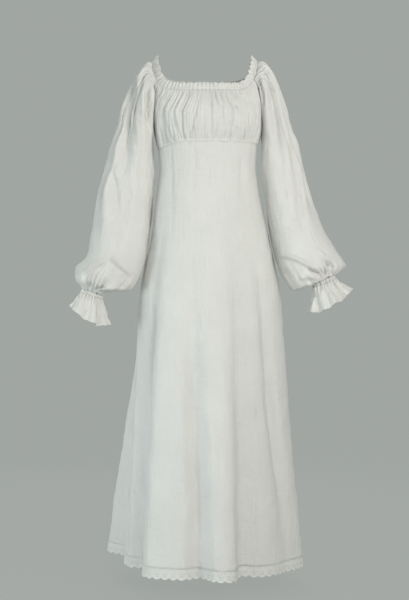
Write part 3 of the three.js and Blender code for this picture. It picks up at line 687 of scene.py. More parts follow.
def cotton(name, colour, weave=0.5, slubs=1.0):
    """A plain-woven cotton in that colour. weave and slubs say how much its threads and slubs show."""
    material, tree, output = new_material(name)
    on_cloth = add_node(tree, "ShaderNodeUVMap")
    on_cloth.uv_map = "flat"
    flat = on_cloth.outputs["UV"]
    slub = thick_threads(tree, flat)
    cloudy = flat_texture(tree, flat, "ShaderNodeTexNoise", CLOUDS).outputs["Fac"]

    shade = combine(tree, "MULTIPLY", combine(tree, "SUBTRACT", cloudy, 0.5), CLOUD_SHADE)
    shade = combine(tree, "ADD", shade, combine(tree, "MULTIPLY", slub, SLUB_SHADE * slubs))
    shade = combine(tree, "ADD", shade, 1.0)
    tint = add_node(tree, "ShaderNodeVectorMath", Vector=colour)
    tint.operation = "SCALE"
    tree.links.new(shade, tint.inputs["Scale"])

    crinkled = bumped(tree, washed_crinkle(tree, flat), 1.0, CRINKLE_HIGH)
    slubbed = bumped(tree, slub, SLUB_STRENGTH * slubs, SLUB_HIGH, Normal=crinkled)
    woven = bumped(tree, woven_threads(tree, flat), weave, THREAD_HIGH, Normal=slubbed)
    surface = add_node(
        tree,
        "ShaderNodeBsdfPrincipled",
        Base_Color=tint.outputs["Vector"],
        Roughness=0.88,
        Specular_IOR_Level=0.2,
        Sheen_Weight=0.12,
        Sheen_Roughness=0.6,
        Normal=woven,
    )
    behind = add_node(tree, "ShaderNodeBsdfTranslucent", Color=tint.outputs["Vector"], Normal=woven)
    both = add_node(tree, "ShaderNodeMixShader", Fac=SEE_THROUGH)
    tree.links.new(surface.outputs[0], both.inputs[1])
    tree.links.new(behind.outputs[0], both.inputs[2])
    tree.links.new(both.outputs[0], output.inputs["Surface"])
    return material


white_cotton = cotton("white_cotton", COTTON_WHITE)
print("material:", white_cotton.name)

# %% [markdown]
# ## The bodice
# The bodice is a front and a back panel. Each is drawn up on the neck elastic above and on the waist seam
# below, and rounds out over the bust between them. Long gathers fan down from the neck, and a row of
# short, finer ones stands just above the waist seam. A few longer folds in front are pressed in one by
# one.
#
# Gathers follow the threads, so they aren't placed by the angle round the body. They are placed by their
# share of the panel's width, which is narrower at the neck than over the bust, and that is what makes them
# fan.

# %% Puckers on the neck elastic
NECK_WAVES = 78  # pleats round the neck frill, which pucker the casing and the cloth below it
NECK_PUCKER = 0.0010
RIDGE_WIDTH = 3  # above 1, a ruffle's ridges are wider than its valleys


def ruffle(turn, waves, seed):
    """A wavering wave of about that many folds round a ring, between about -1 and 1."""
    draw = np.random.default_rng(seed)

    def wander(counts):
        drift = 0
        for k in counts:
            drift = drift + draw.uniform(0.3, 1) * np.sin(np.radians(k * turn) + draw.uniform(0, 7)) / k
        return drift

    swing = np.radians(waves * turn) / 2 + 4.5 * wander((3, 5, 8, 13, 21))
    return (1 - 2 * np.abs(np.sin(swing)) ** RIDGE_WIDTH) * (0.75 + 3 * wander((7, 11, 19)))


def neck_pucker(turn):
    """How far the neck elastic pushes the cloth out at each angle."""
    return NECK_PUCKER * ruffle(turn, NECK_WAVES, 5)


puckers = neck_pucker(np.arange(360))
print("the neck's puckers stand", puckers.min().round(4), "to", puckers.max().round(4), "metres out")

# %% The bodice's folds
BODICE_FRONT_CREASES = [
    (-3, 3, 5, [(-97, 62), (-123, 98), (-137, 146), (-136, 185), (-123, 222)]),
    (-4, 3, 4, [(-20, 84), (-32, 140), (-46, 200), (-50, 222)]),
    (-5, 3, 4, [(6, 84), (11, 140), (8, 200), (6, 218)]),
    (-5, 3, 4, [(37, 84), (42, 120), (40, 160), (46, 196)]),
    (-4, 3, 4, [(68, 80), (78, 120), (80, 165)]),
    (-4, 3, 6, [(90, 76), (108, 115), (115, 160), (111, 212)]),
]
print("folds pressed into the bodice's front:", len(BODICE_FRONT_CREASES))

# %% Bodice panels
FRONT_GRID, BACK_GRID = (380, 84), (200, 64)  # columns and rows
# degrees from gather to gather, how deep they are, and the share of the panel that they run
NECK_GATHERS, WAIST_GATHERS = (3.1, 0.0060, 0.70), (2.7, 0.0046, 0.26)
ROWS_TO_WAIST = 1.15  # above 1, the rows lie closer together towards the waist
NECK_DRAW = 0.7  # how much denser the gathers lie in the middle of the neckline than over the bust
WELT, WELT_HIGH = 0.0020, 0.0021  # how far the waist seam stands out, and how far it reaches to each side


def bodice_panel(name, middle, grid, creases, seen_from, seed):
    """A bodice panel. Its gathers are placed by fan, the angle of a thread where the panel is widest."""
    columns, rows = grid
    share = 1 - (1 - np.linspace(0, 1, rows)[:, None]) ** ROWS_TO_WAIST
    half = SIDE - RAGLAN_LEAVES * (1 - np.clip(share / RAGLAN_UNDERARM, 0, 1) ** RAGLAN_BEND)
    turn = half * np.linspace(-1, 1, columns)
    points = bodice_at(middle + turn, share + 0 * turn)
    normals = normals_of(points)
    fan = points[..., 0] / np.abs(points[..., 0]).max(axis=1, keepdims=True)
    drawn = NECK_DRAW * (1 - smooth_step(share / 0.5))
    fan = np.degrees(np.arcsin(fan * (1 + drawn) / (1 + drawn * np.abs(fan))))
    push = gathers(fan, share, -SIDE, SIDE, *NECK_GATHERS, seed)
    push = push + gathers(fan, 1 - share, -SIDE, SIDE, *WAIST_GATHERS, seed + 1)
    push = push + press(points, normals, creases, seen_from)
    push = push + crumple(points, 0.0006, 0.05, seed + 2, upright=0.6)
    edge = smooth_step((1 - np.abs(np.linspace(-1, 1, columns))) / 0.02)
    ends = smooth_step(share / 0.05) * smooth_step((1 - share) / 0.04)
    pucker = neck_pucker(middle + turn) * (1 - smooth_step(share / 0.12))
    from_waist = (1 - share) * lengths_along(points, 0)[-1:]
    push = push * edge * mix(0.25, 1, ends) + pucker + WELT * bump(from_waist / WELT_HIGH)
    cloth_piece(name, points + normals * push[..., None])


bodice_panel("bodice_front", 0, FRONT_GRID, BODICE_FRONT_CREASES, "front", 11)
bodice_panel("bodice_back", 180, BACK_GRID, [], "back", 21)

# %% [markdown]
# ## The neck casing and its frill
# The elastic runs in a narrow casing, and the cloth above the casing stands up as a small frill. Both are
# rings round the neckline. The casing is puckered by its elastic. The frill is a tight ruffle, with far
# more waves than the gathers below, since all its fullness stands free.

# %% Neck casing and frill
NECK_COLUMNS = 800
# the frill in front and over the shoulders: how high it stands, how far it leans in, how much wider it opens
FRILL_HIGH, FRILL_LEAN, FRILL_OPEN = (0.0125, 0.0175), (0.003, 0.001), (1.9, 1.4)
FRILL_WAVES = 37  # of the frill's upper edge, which rises and falls


def neck_up(turn):
    """The way up from the neckline: square to it in the cloth, and tipped in over the shoulders."""
    s, _ = sine_cosine(turn)
    up = np.cross(outward(turn), neckline(turn + 2) - neckline(turn - 2))
    up = up / np.linalg.norm(up, axis=-1, keepdims=True) + place(-NECK_TIP * s**3, 0 * s, 0 * s)
    return up / np.linalg.norm(up, axis=-1, keepdims=True)


def outward(turn):
    """Level and straight out of the body at each angle."""
    s, c = sine_cosine(turn)
    return place(s, -c, 0 * s)


def ring(count):
    """Evenly spaced angles once round."""
    return np.arange(count) * 360 / count


def neck_ring(name, rows, shape):
    """A ring on the neckline. shape says how far up and how far out it lies at an angle and a share up."""
    turn = ring(NECK_COLUMNS)[None, :]
    up_by, out_by = shape(turn, np.linspace(1, 0, rows)[:, None])
    points = neckline(turn) + neck_up(turn) * up_by[..., None] + outward(turn) * out_by[..., None]
    cloth_piece(name, points, closed=True)


def casing_shape(turn, share):
    belly = 0.0003 * np.sin(math.pi * share)
    return NECK_CASING_HIGH * share + 0 * turn, belly + neck_pucker(turn)


def frill_shape(turn, share):
    shoulder = sine_cosine(turn)[0] ** 4
    high = mix(*FRILL_HIGH, shoulder) * (1 + 0.10 * ruffle(turn, FRILL_WAVES, 8))
    opened = 1 + mix(*FRILL_OPEN, shoulder) * smooth_step(share / 0.7)
    lean = -share * mix(*FRILL_LEAN, shoulder)
    return NECK_CASING_HIGH + high * share, neck_pucker(turn) * opened + lean


neck_ring("neck_casing", 5, casing_shape)
neck_ring("neck_frill", 9, frill_shape)

# %% [markdown]
# ## The sleeves
# Each sleeve starts at a ring: over the shoulder on the neckline, then down the slanting seams in front
# and behind to the underarm. From there a row of closed sections leads down to the wrist, wide and full
# until the last few, which draw in sharply so that the cloth hangs over the wrist in a puff. The head is
# gathered on the neck elastic and the end on the wrist elastic, and the arm's slight bend throws a few
# long folds between the two.

# %% Sleeve sizes
ON_NECK = 60  # degrees of the sleeve's first ring, each way from the shoulder, that lie on the neckline

# The outer point of each section, across and down, its inner point, its middle's y, and half its depth.
SLEEVE_RIGHT = np.array([
    (-0.162, -0.010, -0.147, 0.112, 0, 0.052),
    (-0.195, 0.028, -0.146, 0.124, 0.001, 0.058),
    (-0.223, 0.084, -0.147, 0.154, 0.003, 0.061),
    (-0.248, 0.171, -0.147, 0.222, 0.005, 0.066),
    (-0.274, 0.262, -0.143, 0.300, 0.006, 0.072),
    (-0.297, 0.362, -0.147, 0.374, 0.004, 0.078),
    (-0.314, 0.465, -0.157, 0.462, -0.006, 0.084),
    (-0.323, 0.511, -0.166, 0.520, -0.014, 0.088),
    (-0.351, 0.545, -0.180, 0.566, -0.022, 0.086),
    (-0.352, 0.574, -0.206, 0.603, -0.032, 0.070),
    (-0.337, 0.592, -0.264, 0.608, -0.040, 0.038),
    (-0.332, 0.600, -0.279, 0.619, -0.042, 0.027),
])
SLEEVE_LEFT = np.array([
    (0.156, -0.010, 0.148, 0.112, 0, 0.052),
    (0.182, 0.026, 0.149, 0.124, 0.001, 0.058),
    (0.202, 0.080, 0.151, 0.158, 0.003, 0.062),
    (0.225, 0.155, 0.150, 0.222, 0.005, 0.066),
    (0.250, 0.231, 0.148, 0.280, 0.006, 0.072),
    (0.271, 0.306, 0.153, 0.334, 0.005, 0.076),
    (0.291, 0.374, 0.160, 0.400, 0.002, 0.080),
    (0.313, 0.440, 0.174, 0.476, -0.006, 0.084),
    (0.344, 0.494, 0.187, 0.530, -0.016, 0.086),
    (0.367, 0.534, 0.205, 0.576, -0.026, 0.082),
    (0.352, 0.556, 0.234, 0.605, -0.036, 0.060),
    (0.337, 0.562, 0.280, 0.588, -0.042, 0.030),
])
# The same columns for the frill: the end of the wrist casing, and two rows of the frill below it.
FRILL_RIGHT = np.array([
    (-0.336, 0.609, -0.281, 0.628, -0.043, 0.028),
    (-0.352, 0.628, -0.273, 0.662, -0.047, 0.036),
    (-0.364, 0.648, -0.267, 0.698, -0.050, 0.043),
])
FRILL_LEFT = np.array([
    (0.340, 0.573, 0.284, 0.598, -0.045, 0.029),
    (0.364, 0.590, 0.279, 0.632, -0.049, 0.038),
    (0.381, 0.608, 0.278, 0.664, -0.052, 0.045),
])
SLEEVE_COLUMNS, SLEEVE_ROWS = 300, 125
# The inner side of this many sections is squarer, where the cloth bunches at the underarm, and how square.
BOXY_ROWS, BOXY = 6, 0.55
print("sections of the sleeves:", len(SLEEVE_RIGHT), "right,", len(SLEEVE_LEFT), "left")

# %% [markdown]
# ## The folds of the sleeves
# These lists hold the sleeves' large folds. From the neck, narrow hanging pleats run down the inner side,
# and a wide hollow lies beside them over the arm. At the elbow one fold swings outwards. Over the wrist
# the cloth is pulled up in an inverted V, and its puff hangs to both sides of it.

# %% The right sleeve's folds
RIGHT_FRONT_CREASES = [
    (-10, 3, 5, [(-127, 19), (-147, 41), (-158, 64), (-163, 124), (-158, 197)]),
    (14, 4, 7, [(-123, 32), (-139, 50), (-149, 80), (-151, 164), (-151, 230)]),
    (9, 4, 9, [(-136, 6), (-157, 30), (-168, 60), (-171, 124), (-168, 230)]),
    (-6, 3, 5, [(-143, 2), (-162, 22), (-174, 48), (-178, 90)]),
    (5, 3, 5, [(-150, -2), (-170, 18), (-182, 44), (-187, 85)]),
    (-30, 14, 24, [(-188, 10), (-203, 50), (-209, 97), (-217, 164), (-224, 360)]),
    (-4, 3, 5, [(-190, 60), (-194, 140), (-198, 230)]),
    (4, 3, 5, [(-199, 90), (-204, 150), (-210, 220)]),
    (10, 8, 18, [(-264, 275), (-272, 330), (-270, 370), (-264, 460)]),
    (-9, 4, 10, [(-259, 270), (-250, 300), (-242, 332), (-238, 364), (-237, 430)]),
    (-10, 4, 12, [(-268, 280), (-284, 330), (-291, 377), (-291, 436), (-297, 500)]),
    (-6, 5, 10, [(-200, 320), (-205, 350), (-213, 400), (-222, 450)]),
    (-4, 8, 12, [(-181, 225), (-179, 310), (-176, 390), (-171, 470)]),
    (-5, 8, 14, [(-227, 377), (-222, 444), (-240, 520)]),
    (11, 3, 5, [(-338, 560), (-305, 542), (-280, 530), (-256, 514)]),
    (-10, 3, 6, [(-330, 572), (-303, 555), (-276, 541), (-256, 526)]),
    (11, 3, 5, [(-268, 510), (-240, 532), (-222, 548), (-194, 572)]),
    (-10, 3, 6, [(-258, 520), (-234, 543), (-213, 560), (-196, 580)]),
    (-5, 10, 14, [(-222, 560), (-226, 580), (-240, 600)]),
    (6, 4, 6, [(-286, 606), (-262, 598), (-230, 604), (-200, 604)]),
]
RIGHT_WRIST_GATHERS = [
    (-7, 2, 3.6, [(-317, 598), (-318, 580), (-315, 552)]),
    (-6, 2, 4, [(-309, 602), (-308, 576), (-296, 540)]),
    (-7, 2, 4.4, [(-301, 604), (-296, 576), (-280, 548), (-266, 530)]),
    (-5, 2, 4, [(-293, 607), (-286, 585), (-272, 564), (-256, 545)]),
    (-4, 2, 4.4, [(-285, 610), (-276, 593), (-262, 580), (-246, 572)]),
    (5, 2.4, 4, [(-305, 600), (-302, 576), (-288, 544)]),
    (5, 2.4, 4, [(-288, 606), (-280, 585), (-262, 556)]),
]
print("right sleeve:", len(RIGHT_FRONT_CREASES), "folds and", len(RIGHT_WRIST_GATHERS), "wrist gathers")

# %% The left sleeve's folds
LEFT_FRONT_CREASES = [
    (4, 5, 10, [(140, -2), (166, 8), (182, 32), (190, 70), (202, 124)]),
    (-20, 9, 20, [(154, 10), (168, 48), (174, 95), (184, 170), (194, 290)]),
    (8, 4, 8, [(126, 18), (144, 36), (156, 70), (160, 124), (160, 200)]),
    (-8, 3, 5, [(125, 26), (140, 46), (150, 80), (154, 130)]),
    (10, 4, 6, [(126, 36), (138, 56), (146.5, 90), (150, 150), (151, 200)]),
    (-12, 8, 14, [(216, 150), (229, 217), (240, 310), (246, 377), (256, 457), (272, 503)]),
    (-4, 6, 10, [(197, 220), (200, 320), (205, 404)]),
    (-5, 6, 10, [(256, 270), (272, 350), (296, 444)]),
    (13, 4, 6, [(185, 512), (202, 512), (230, 519), (253, 531), (292, 551)]),
    (-20, 4, 6, [(262, 546), (284, 557), (306, 562)]),
    (-9, 14, 16, [(324, 515), (322, 545), (318, 590)]),
    (-7, 6, 9, [(202, 545), (215, 565), (232, 585)]),
    (6, 6, 8, [(240, 575), (262, 566), (290, 572)]),
    (-5, 5, 7, [(246, 585), (270, 580), (292, 584)]),
    (7, 4, 6, [(292, 500), (318, 520), (346, 540)]),
    (-6, 4, 6, [(300, 522), (322, 538), (344, 548)]),
]
LEFT_WRIST_GATHERS = [
    (-8, 2, 3.6, [(304, 578), (298, 566), (286, 554)]),
    (-8, 2, 3.6, [(310, 574), (304, 560), (290, 540)]),
    (-8, 2, 3.6, [(316, 572), (313, 555), (304, 532)]),
    (-8, 2, 3.6, [(322, 570), (322, 550), (318, 522)]),
    (-7, 2, 3.6, [(328, 568), (332, 550), (334, 526)]),
    (5, 2.2, 3.6, [(319, 570), (318, 552), (310, 524)]),
]
print("left sleeve:", len(LEFT_FRONT_CREASES), "folds and", len(LEFT_WRIST_GATHERS), "wrist gathers")

# %% The folds at the sides and behind
OUTER_CREASES = [
    (-16, 10, 20, [(30, 40), (34, 160), (40, 300), (20, 450)]),
    (-9, 8, 14, [(-20, 120), (-26, 300), (-30, 430)]),
    (9, 6, 12, [(60, 490), (10, 530), (-50, 545)]),
    (-8, 8, 10, [(20, 520), (-10, 560), (-30, 590)]),
]
RIGHT_BACK_CREASES = [
    (-18, 12, 20, [(-182, 20), (-205, 150), (-215, 260), (-218, 400)]),
    (7, 6, 12, [(-150, 30), (-166, 90), (-170, 200)]),
    (-10, 8, 16, [(-240, 200), (-250, 330), (-262, 460)]),
    (-8, 8, 14, [(-170, 150), (-178, 280), (-200, 440)]),
    (8, 6, 12, [(-330, 510), (-270, 535), (-210, 545)]),
    (-7, 6, 10, [(-255, 550), (-275, 570), (-290, 600)]),
]


def mirrored(creases):
    """The same creases on the other side of the dress."""
    return [(out, width, last, [(-x, down) for x, down in path]) for out, width, last, path in creases]


RIGHT_CREASES = {
    "front": RIGHT_FRONT_CREASES + RIGHT_WRIST_GATHERS,
    "right": OUTER_CREASES,
    "back": RIGHT_BACK_CREASES,
}
LEFT_CREASES = {
    "front": LEFT_FRONT_CREASES + LEFT_WRIST_GATHERS,
    "left": OUTER_CREASES,
    "back": mirrored(RIGHT_BACK_CREASES),
}
print("folds on the sleeves' outer sides and backs:", len(OUTER_CREASES) + len(RIGHT_BACK_CREASES), "each")

# %% [markdown]
# ## The sleeves' cloth
# The sections say where the sleeve's outer, inner, front and back lines run, and each is an ellipse
# between them. The first ring isn't in the tables, because it is the seam that the sleeve shares with the
# neckline and the bodice.
#
# The folds go on last. On cloth that faces sideways, a fold that is pressed straight in can't be seen from
# the front, so each is pressed partly towards the side that it was drawn for.

# %% Sleeve sections
WRIST_WAVES, WRIST_PUCKER = 22, 0.0021


def section_points(rows, turn):
    """Closed sections from their table: 0 is outside, 90 in front and 180 next to the body."""
    s, c = sine_cosine(turn)
    out_x, out_down, in_x, in_down, mid_y, deep = rows.T[..., None]
    if len(rows) > BOXY_ROWS:
        boxy = mix(1, BOXY, np.clip(1 - np.arange(len(rows)) / BOXY_ROWS, 0, 1))[:, None]
        c = np.where(c < 0, -(np.abs(c) ** boxy), c)
    x = (out_x + in_x) / 2 + (out_x - in_x) / 2 * c
    down = (out_down + in_down) / 2 + (out_down - in_down) / 2 * c
    return place(x, mid_y - deep * s, -down)


def armhole_turn(side, turn):
    """Where the sleeve's first ring lies on the bodice: its angle round the body and its share down."""
    turn = turn_between(0, turn)
    beyond = np.clip((np.abs(turn) - ON_NECK) / (180 - ON_NECK), 0, 1)
    past = np.sign(turn) * RAGLAN_LEAVES * (1 - beyond**RAGLAN_BEND)
    leaves = np.where(beyond > 0, past, RAGLAN_LEAVES * turn / ON_NECK)
    return side * (SIDE - leaves), RAGLAN_UNDERARM * beyond


def wrist_pucker(turn):
    """How far the wrist elastic pushes the cloth out at each angle."""
    return WRIST_PUCKER * ruffle(turn, WRIST_WAVES, 9)


print("the right puff is", round(np.ptp(section_points(SLEEVE_RIGHT, ring(36))[8, :, 0]), 3), "metres across")

# %% Sleeves
# degrees from gather to gather, how deep they are, and how many metres they run
HEAD_GATHERS, WRIST_GATHERS = (6.0, 0.0080, 0.12), (9, 0.0046, 0.07)
HEAD_HALF = 80  # degrees of the sleeve that are gathered, each way from the shoulder
TOWARDS_VIEW = 1.5  # how much a fold opens towards the side it is seen from, rather than straight out


def make_sleeve(name, side, table, creases, seed):
    """A sleeve from the neckline to the wrist casing. side is -1 for the right one and 1 for the left."""
    turn = ring(SLEEVE_COLUMNS) if side < 0 else ring(SLEEVE_COLUMNS)[::-1]
    body_turn, body_share = armhole_turn(side, turn)
    rows = np.concatenate([bodice_at(body_turn, body_share)[None], section_points(table, turn)])
    steps = np.linalg.norm(np.diff(rows, axis=0), axis=-1).mean(axis=1)
    run = np.insert(np.cumsum(steps), 0, 0)
    length = run[-1]
    down = np.linspace(0, length, SLEEVE_ROWS)
    points = through(down, run, rows)
    normals = normals_of(points, closed=True)
    down, round_it = down[:, None], turn_between(0, turn)[None, :]
    push = gathers(round_it, down, -HEAD_HALF, HEAD_HALF, *HEAD_GATHERS, seed)
    push = push + gathers(round_it, length - down, -180, 180, *WRIST_GATHERS, seed + 1, round_it=360)
    pressed = np.zeros(points.shape)
    for seen_from, placed in creases.items():
        _, facing_axis, sign = FACES[seen_from]
        way = normals.copy()
        way[..., facing_axis] += TOWARDS_VIEW * sign
        way /= np.linalg.norm(way, axis=-1, keepdims=True)
        pressed += press(points, normals, placed, seen_from)[..., None] * way
    wrinkled = rise_and_fall(down / length, 0, 0.3, 1)
    push = push + crumple(points, 0.0018, 0.07, seed + 2, upright=0.7) * wrinkled
    push = push + crumple(points, 0.0006, 0.020, seed + 3, upright=0.6) * wrinkled
    ends = smooth_step(down / 0.02) * smooth_step((length - down) / 0.008)
    neck = neck_pucker(body_turn) * (1 - smooth_step(down / 0.015)) * (np.abs(round_it) < ON_NECK)
    cuff = wrist_pucker(turn) * smooth_step((down - length + 0.015) / 0.015)
    push = push * mix(0.1, 1, ends) + neck + cuff
    points = points + normals * push[..., None] + pressed * ends[..., None]
    cloth_piece(name, points, closed=True)


make_sleeve("sleeve_right", -1, SLEEVE_RIGHT, RIGHT_CREASES, 31)
make_sleeve("sleeve_left", 1, SLEEVE_LEFT, LEFT_CREASES, 41)

# %% [markdown]
# ## The wrist casings and cuff frills
# Below the puff the sleeve is drawn up on a second elastic. The casing is a short puckered tube, and the
# cloth beyond it flares into a frill of deep, uneven flutes. A frill is mostly edge, so its flutes are
# placed by angle and each has its own width and depth.

# %% Wrist casings and cuff frills
CUFF_COLUMNS, CASING_ROWS, CUFF_ROWS = 264, 5, 30
CUFF_SAG = 0.011
# degrees from gather to gather, how deep they are, and the share of the frill that they run
CUFF_GATHERS = (11, 0.0054, 0.60)

# how many flutes, how deep, where the first one lies
FLUTES_RIGHT = [(3, 0.0060, 30), (7, 0.0080, 40), (13, 0.0032, 0)]
FLUTES_LEFT = [(4, 0.0070, 70), (9, 0.0075, 25), (15, 0.0028, 5)]


def cuff_turns(side):
    """Angles round a wrist, turned about on the left so that both cloths face outwards."""
    return ring(CUFF_COLUMNS) if side < 0 else ring(CUFF_COLUMNS)[::-1]


def wrist_casing(name, side, table, frill):
    """The short tube between a sleeve's last section and its frill's first one."""
    turn = cuff_turns(side)
    start, end = section_points(table, turn)[-1], section_points(frill, turn)[0]
    share = np.linspace(0, 1, CASING_ROWS)[:, None]
    points = mix(start, end, share[..., None])
    belly = 0.0002 * np.sin(math.pi * share) + wrist_pucker(turn)
    cloth_piece(name, points + normals_of(points, closed=True) * belly[..., None], closed=True)


def cuff_frill(name, side, table, flutes, seed):
    """A frill whose flutes grow from the puckers of its casing to its edge."""
    turn = cuff_turns(side)
    share = np.linspace(0, 1, CUFF_ROWS)
    points = through(share, np.linspace(0, 1, len(table)), section_points(table, turn))
    normals = normals_of(points, closed=True)
    share = share[:, None]
    push = wrist_pucker(turn) * (1 - smooth_step(share / 0.35))
    for count, deep, first in flutes:
        wander = 26 * np.sin(np.radians(2 * turn + 50 * count)) / count
        push = push + deep * share**1.3 * np.sin(np.radians(count * (turn - first + wander)))
    round_it = turn_between(0, turn)[None]
    push = push + gathers(round_it, share, -180, 180, *CUFF_GATHERS, seed, round_it=360)
    push = push + crumple(points, 0.0009, 0.03, seed + 1) * smooth_step(share / 0.3)
    points = points + normals * push[..., None]
    points[..., 2] -= CUFF_SAG * share * sine_cosine(turn)[0] ** 2
    cloth_piece(name, points, closed=True)


for word, side, table, frill, flutes in (
    ("right", -1, SLEEVE_RIGHT, FRILL_RIGHT, FLUTES_RIGHT),
    ("left", 1, SLEEVE_LEFT, FRILL_LEFT, FLUTES_LEFT),
):
    wrist_casing(f"wrist_casing_{word}", side, table, frill)
    cuff_frill(f"cuff_frill_{word}", side, frill, flutes, 52 + side)

# %% [markdown]
# ## The skirt
# The skirt is a front and a back panel, flared and sewn at the sides. Its folds are cones that start as
# nothing under the waist and grow to the hem, and they come with the hem's outline. The grid has more
# columns where the folds are deep. Small drag lines, soft creases and a low crumple are added, so that the
# wide plain areas look like cloth. The same surface runs on below the skirt's edge, because the trim hangs
# from it.

# %% The skirt's drag lines and soft creases
SKIRT_FRONT_CREASES = [
    (-3, 6, 10, [(-30, 222), (-34, 290), (-37, 400)]),
    (-3, 5, 12, [(-100, 228), (-94, 300), (-100, 420)]),
    (-2, 5, 10, [(10, 222), (12, 300), (10, 380)]),
    (-3, 5, 12, [(94, 222), (92, 300), (98, 420)]),
    (-5, 12, 20, [(-44, 700), (-36, 955), (-12, 1300)]),
    (5, 8, 10, [(-38, 1110), (-45, 1180), (-32, 1240)]),
    (-3, 6, 8, [(129, 905), (138, 985)]),
    (-4, 10, 16, [(150, 800), (172, 960), (195, 1130), (220, 1280)]),
    (-1, 3, 3, [(60, 420), (80, 422)]),
    (-1, 3, 3, [(56, 408), (78, 411)]),
    (-1, 3, 3, [(62, 433), (84, 434)]),
]
SKIRT_BACK_CREASES = [
    (-3, 6, 12, [(-40, 222), (-44, 320), (-50, 450)]),
    (-3, 6, 12, [(52, 222), (56, 300), (52, 430)]),
    (-4, 10, 16, [(10, 700), (20, 900), (14, 1200)]),
]
print("creases on the skirt:", len(SKIRT_FRONT_CREASES), "in front,", len(SKIRT_BACK_CREASES), "behind")

# %% Skirt
SKIRT_COLUMNS, SKIRT_ROWS, TRIM_ROWS = 200, 160, 9
# degrees from gather to gather, how deep they are, and how many metres they run
SKIRT_GATHERS = (4.4, 0.0009, 0.045)
EDGE_OUT = 0.0010  # how far the turned-up edge stands out over the trim
WELT_ROWS = 7  # rows of the skirt that lie on the waist seam's welt
FOLLOW_HEM = 0.6  # the share of the columns that is spread by the hem's folds, and not by the angle


def skirt_turns(middle, count):
    """Angles of a panel's columns, closer together where the hem's folds take more cloth."""
    fine = np.linspace(middle - SIDE, middle + SIDE, 1600)
    taken = lengths_along(skirt_at(fine, HEM_DOWN + 0 * fine)[None], 1)[0]
    shared = taken / taken[-1] * FOLLOW_HEM + (fine - fine[0]) / 180 * (1 - FOLLOW_HEM)
    return np.interp(np.linspace(0, 1, count), shared, fine)


def skirt_surface(middle, creases, seen_from, seed):
    """A panel's cloth from the waist seam to the trim's lowest line, as points and normals."""
    turn = skirt_turns(middle, SKIRT_COLUMNS)[None, :]
    welt_share = np.linspace(0, WELT_HIGH * 2.4, WELT_ROWS) / (LACE_DOWN - WAIST_DOWN)
    share = np.append(welt_share[:-1], np.linspace(welt_share[-1], 1, SKIRT_ROWS - WELT_ROWS + 1))[:, None]
    below = np.linspace(LACE_DOWN, HEM_DOWN, TRIM_ROWS)[1:, None] + 0 * turn
    down = np.concatenate([mix(waist_down(turn), LACE_DOWN, share), below])
    points = skirt_at(turn + 0 * down, down)
    normals = normals_of(points)
    from_waist = down - waist_down(turn)
    hanging = smooth_step(from_waist / 0.08)
    push = press(points, normals, creases, seen_from)
    push = push + gathers(turn, from_waist, middle - SIDE, middle + SIDE, *SKIRT_GATHERS, seed + 2)
    push = push + crumple(points, 0.0014, 0.16, seed, upright=0.85) * hanging
    push = push + crumple(points, 0.0006, 0.05, seed + 1, upright=0.4) * hanging
    edge = smooth_step((1 - np.abs(np.linspace(-1, 1, SKIRT_COLUMNS))) / 0.03)
    welt = WELT * bump(from_waist / WELT_HIGH)
    return points + normals * (push * edge + welt)[..., None], normals


def skirt_panel(name, surface):
    """The panel's own cloth, whose turned-up edge stands out a little over the trim."""
    points, normals = (part[:SKIRT_ROWS].copy() for part in surface)
    points[-1] += EDGE_OUT * normals[-1]
    cloth_piece(name, points)


front_surface = skirt_surface(0, SKIRT_FRONT_CREASES, "front", 61)
back_surface = skirt_surface(180, SKIRT_BACK_CREASES, "back", 71)
skirt_panel("skirt_front", front_surface)
skirt_panel("skirt_back", back_surface)

# %% [markdown]
# ## The eyelet trim
# Round the hem runs a ready-made trim with a scalloped edge and a small flower of eyelets in each scallop.
# It is sewn on behind the skirt's edge, and 28 mm of it show. An eyelet is a hole, and paint can't let the
# light through, so the holes are cut in the mesh.
#
# One scallop is drawn flat, as an outline with its eyelets, and a constrained triangulation fills the
# cloth between them. Its rims and its edge are raised a little, as close stitching is. Then the scallop is
# repeated along the hem and bent onto the skirt's own surface.

# %% The eyelets of one scallop
SCALLOP_WIDE = 0.023
SCALLOP_DEEP = 0.0052
TRIM_OVERLAP = 0.004  # how far the trim goes up behind the skirt's edge
TRIM_HIGH = HEM_DOWN - LACE_DOWN + TRIM_OVERLAP
FLOWER_UP = 0.0125  # the flower's middle, above the trim's lowest line
PETAL_OUT = 0.0044  # from the flower's middle to its petals


def petal(angle):
    """One of the eyelets round the flower's middle."""
    across = 0.5 + PETAL_OUT * math.sin(math.radians(angle)) / SCALLOP_WIDE
    return across, FLOWER_UP + PETAL_OUT * math.cos(math.radians(angle)), 0.0011


# how far across the scallop each eyelet lies, how far above the lowest line, and its radius
EYELETS = [(0.5, FLOWER_UP, 0.0012)]
EYELETS += [petal(angle) for angle in range(0, 360, 60)]
EYELETS += [(0.12, 0.0150, 0.0009), (0.88, 0.0150, 0.0009)]
EYELETS += [(across, up, 0.0008) for up in (0.0070, 0.0195) for across in (0.25, 0.75)]
EYELETS += [(k / 4 + 0.125, 0.0245, 0.0008) for k in range(4)]
print(len(EYELETS), "eyelets in each scallop")

# %% The points of one scallop
STITCH_HIGH = 0.0004  # how far close stitching stands up
STITCH_LINES = ((0.0007, STITCH_HIGH), (0.0014, 0))  # how far inside the scalloped edge, and how high
RIM_WIDE = 0.0007
HOLE_SIDES = 8
GRAIN = 0.0034  # distance between the points inside the cloth
CLEAR_OF_RIM, CLEAR_OF_EDGE = 1.6 * RIM_WIDE, 0.0022  # how far those stay away from an eyelet and the edge
SCALLOP_STEPS, OUTLINE_STEPS, SIDE_STEPS, TOP_STEPS = 12, 14, 6, 8


def scallop_edge(across):
    """How far the lower edge lies above its lowest line, across one scallop."""
    return SCALLOP_DEEP * abs(2 * across - 1) ** 2.4


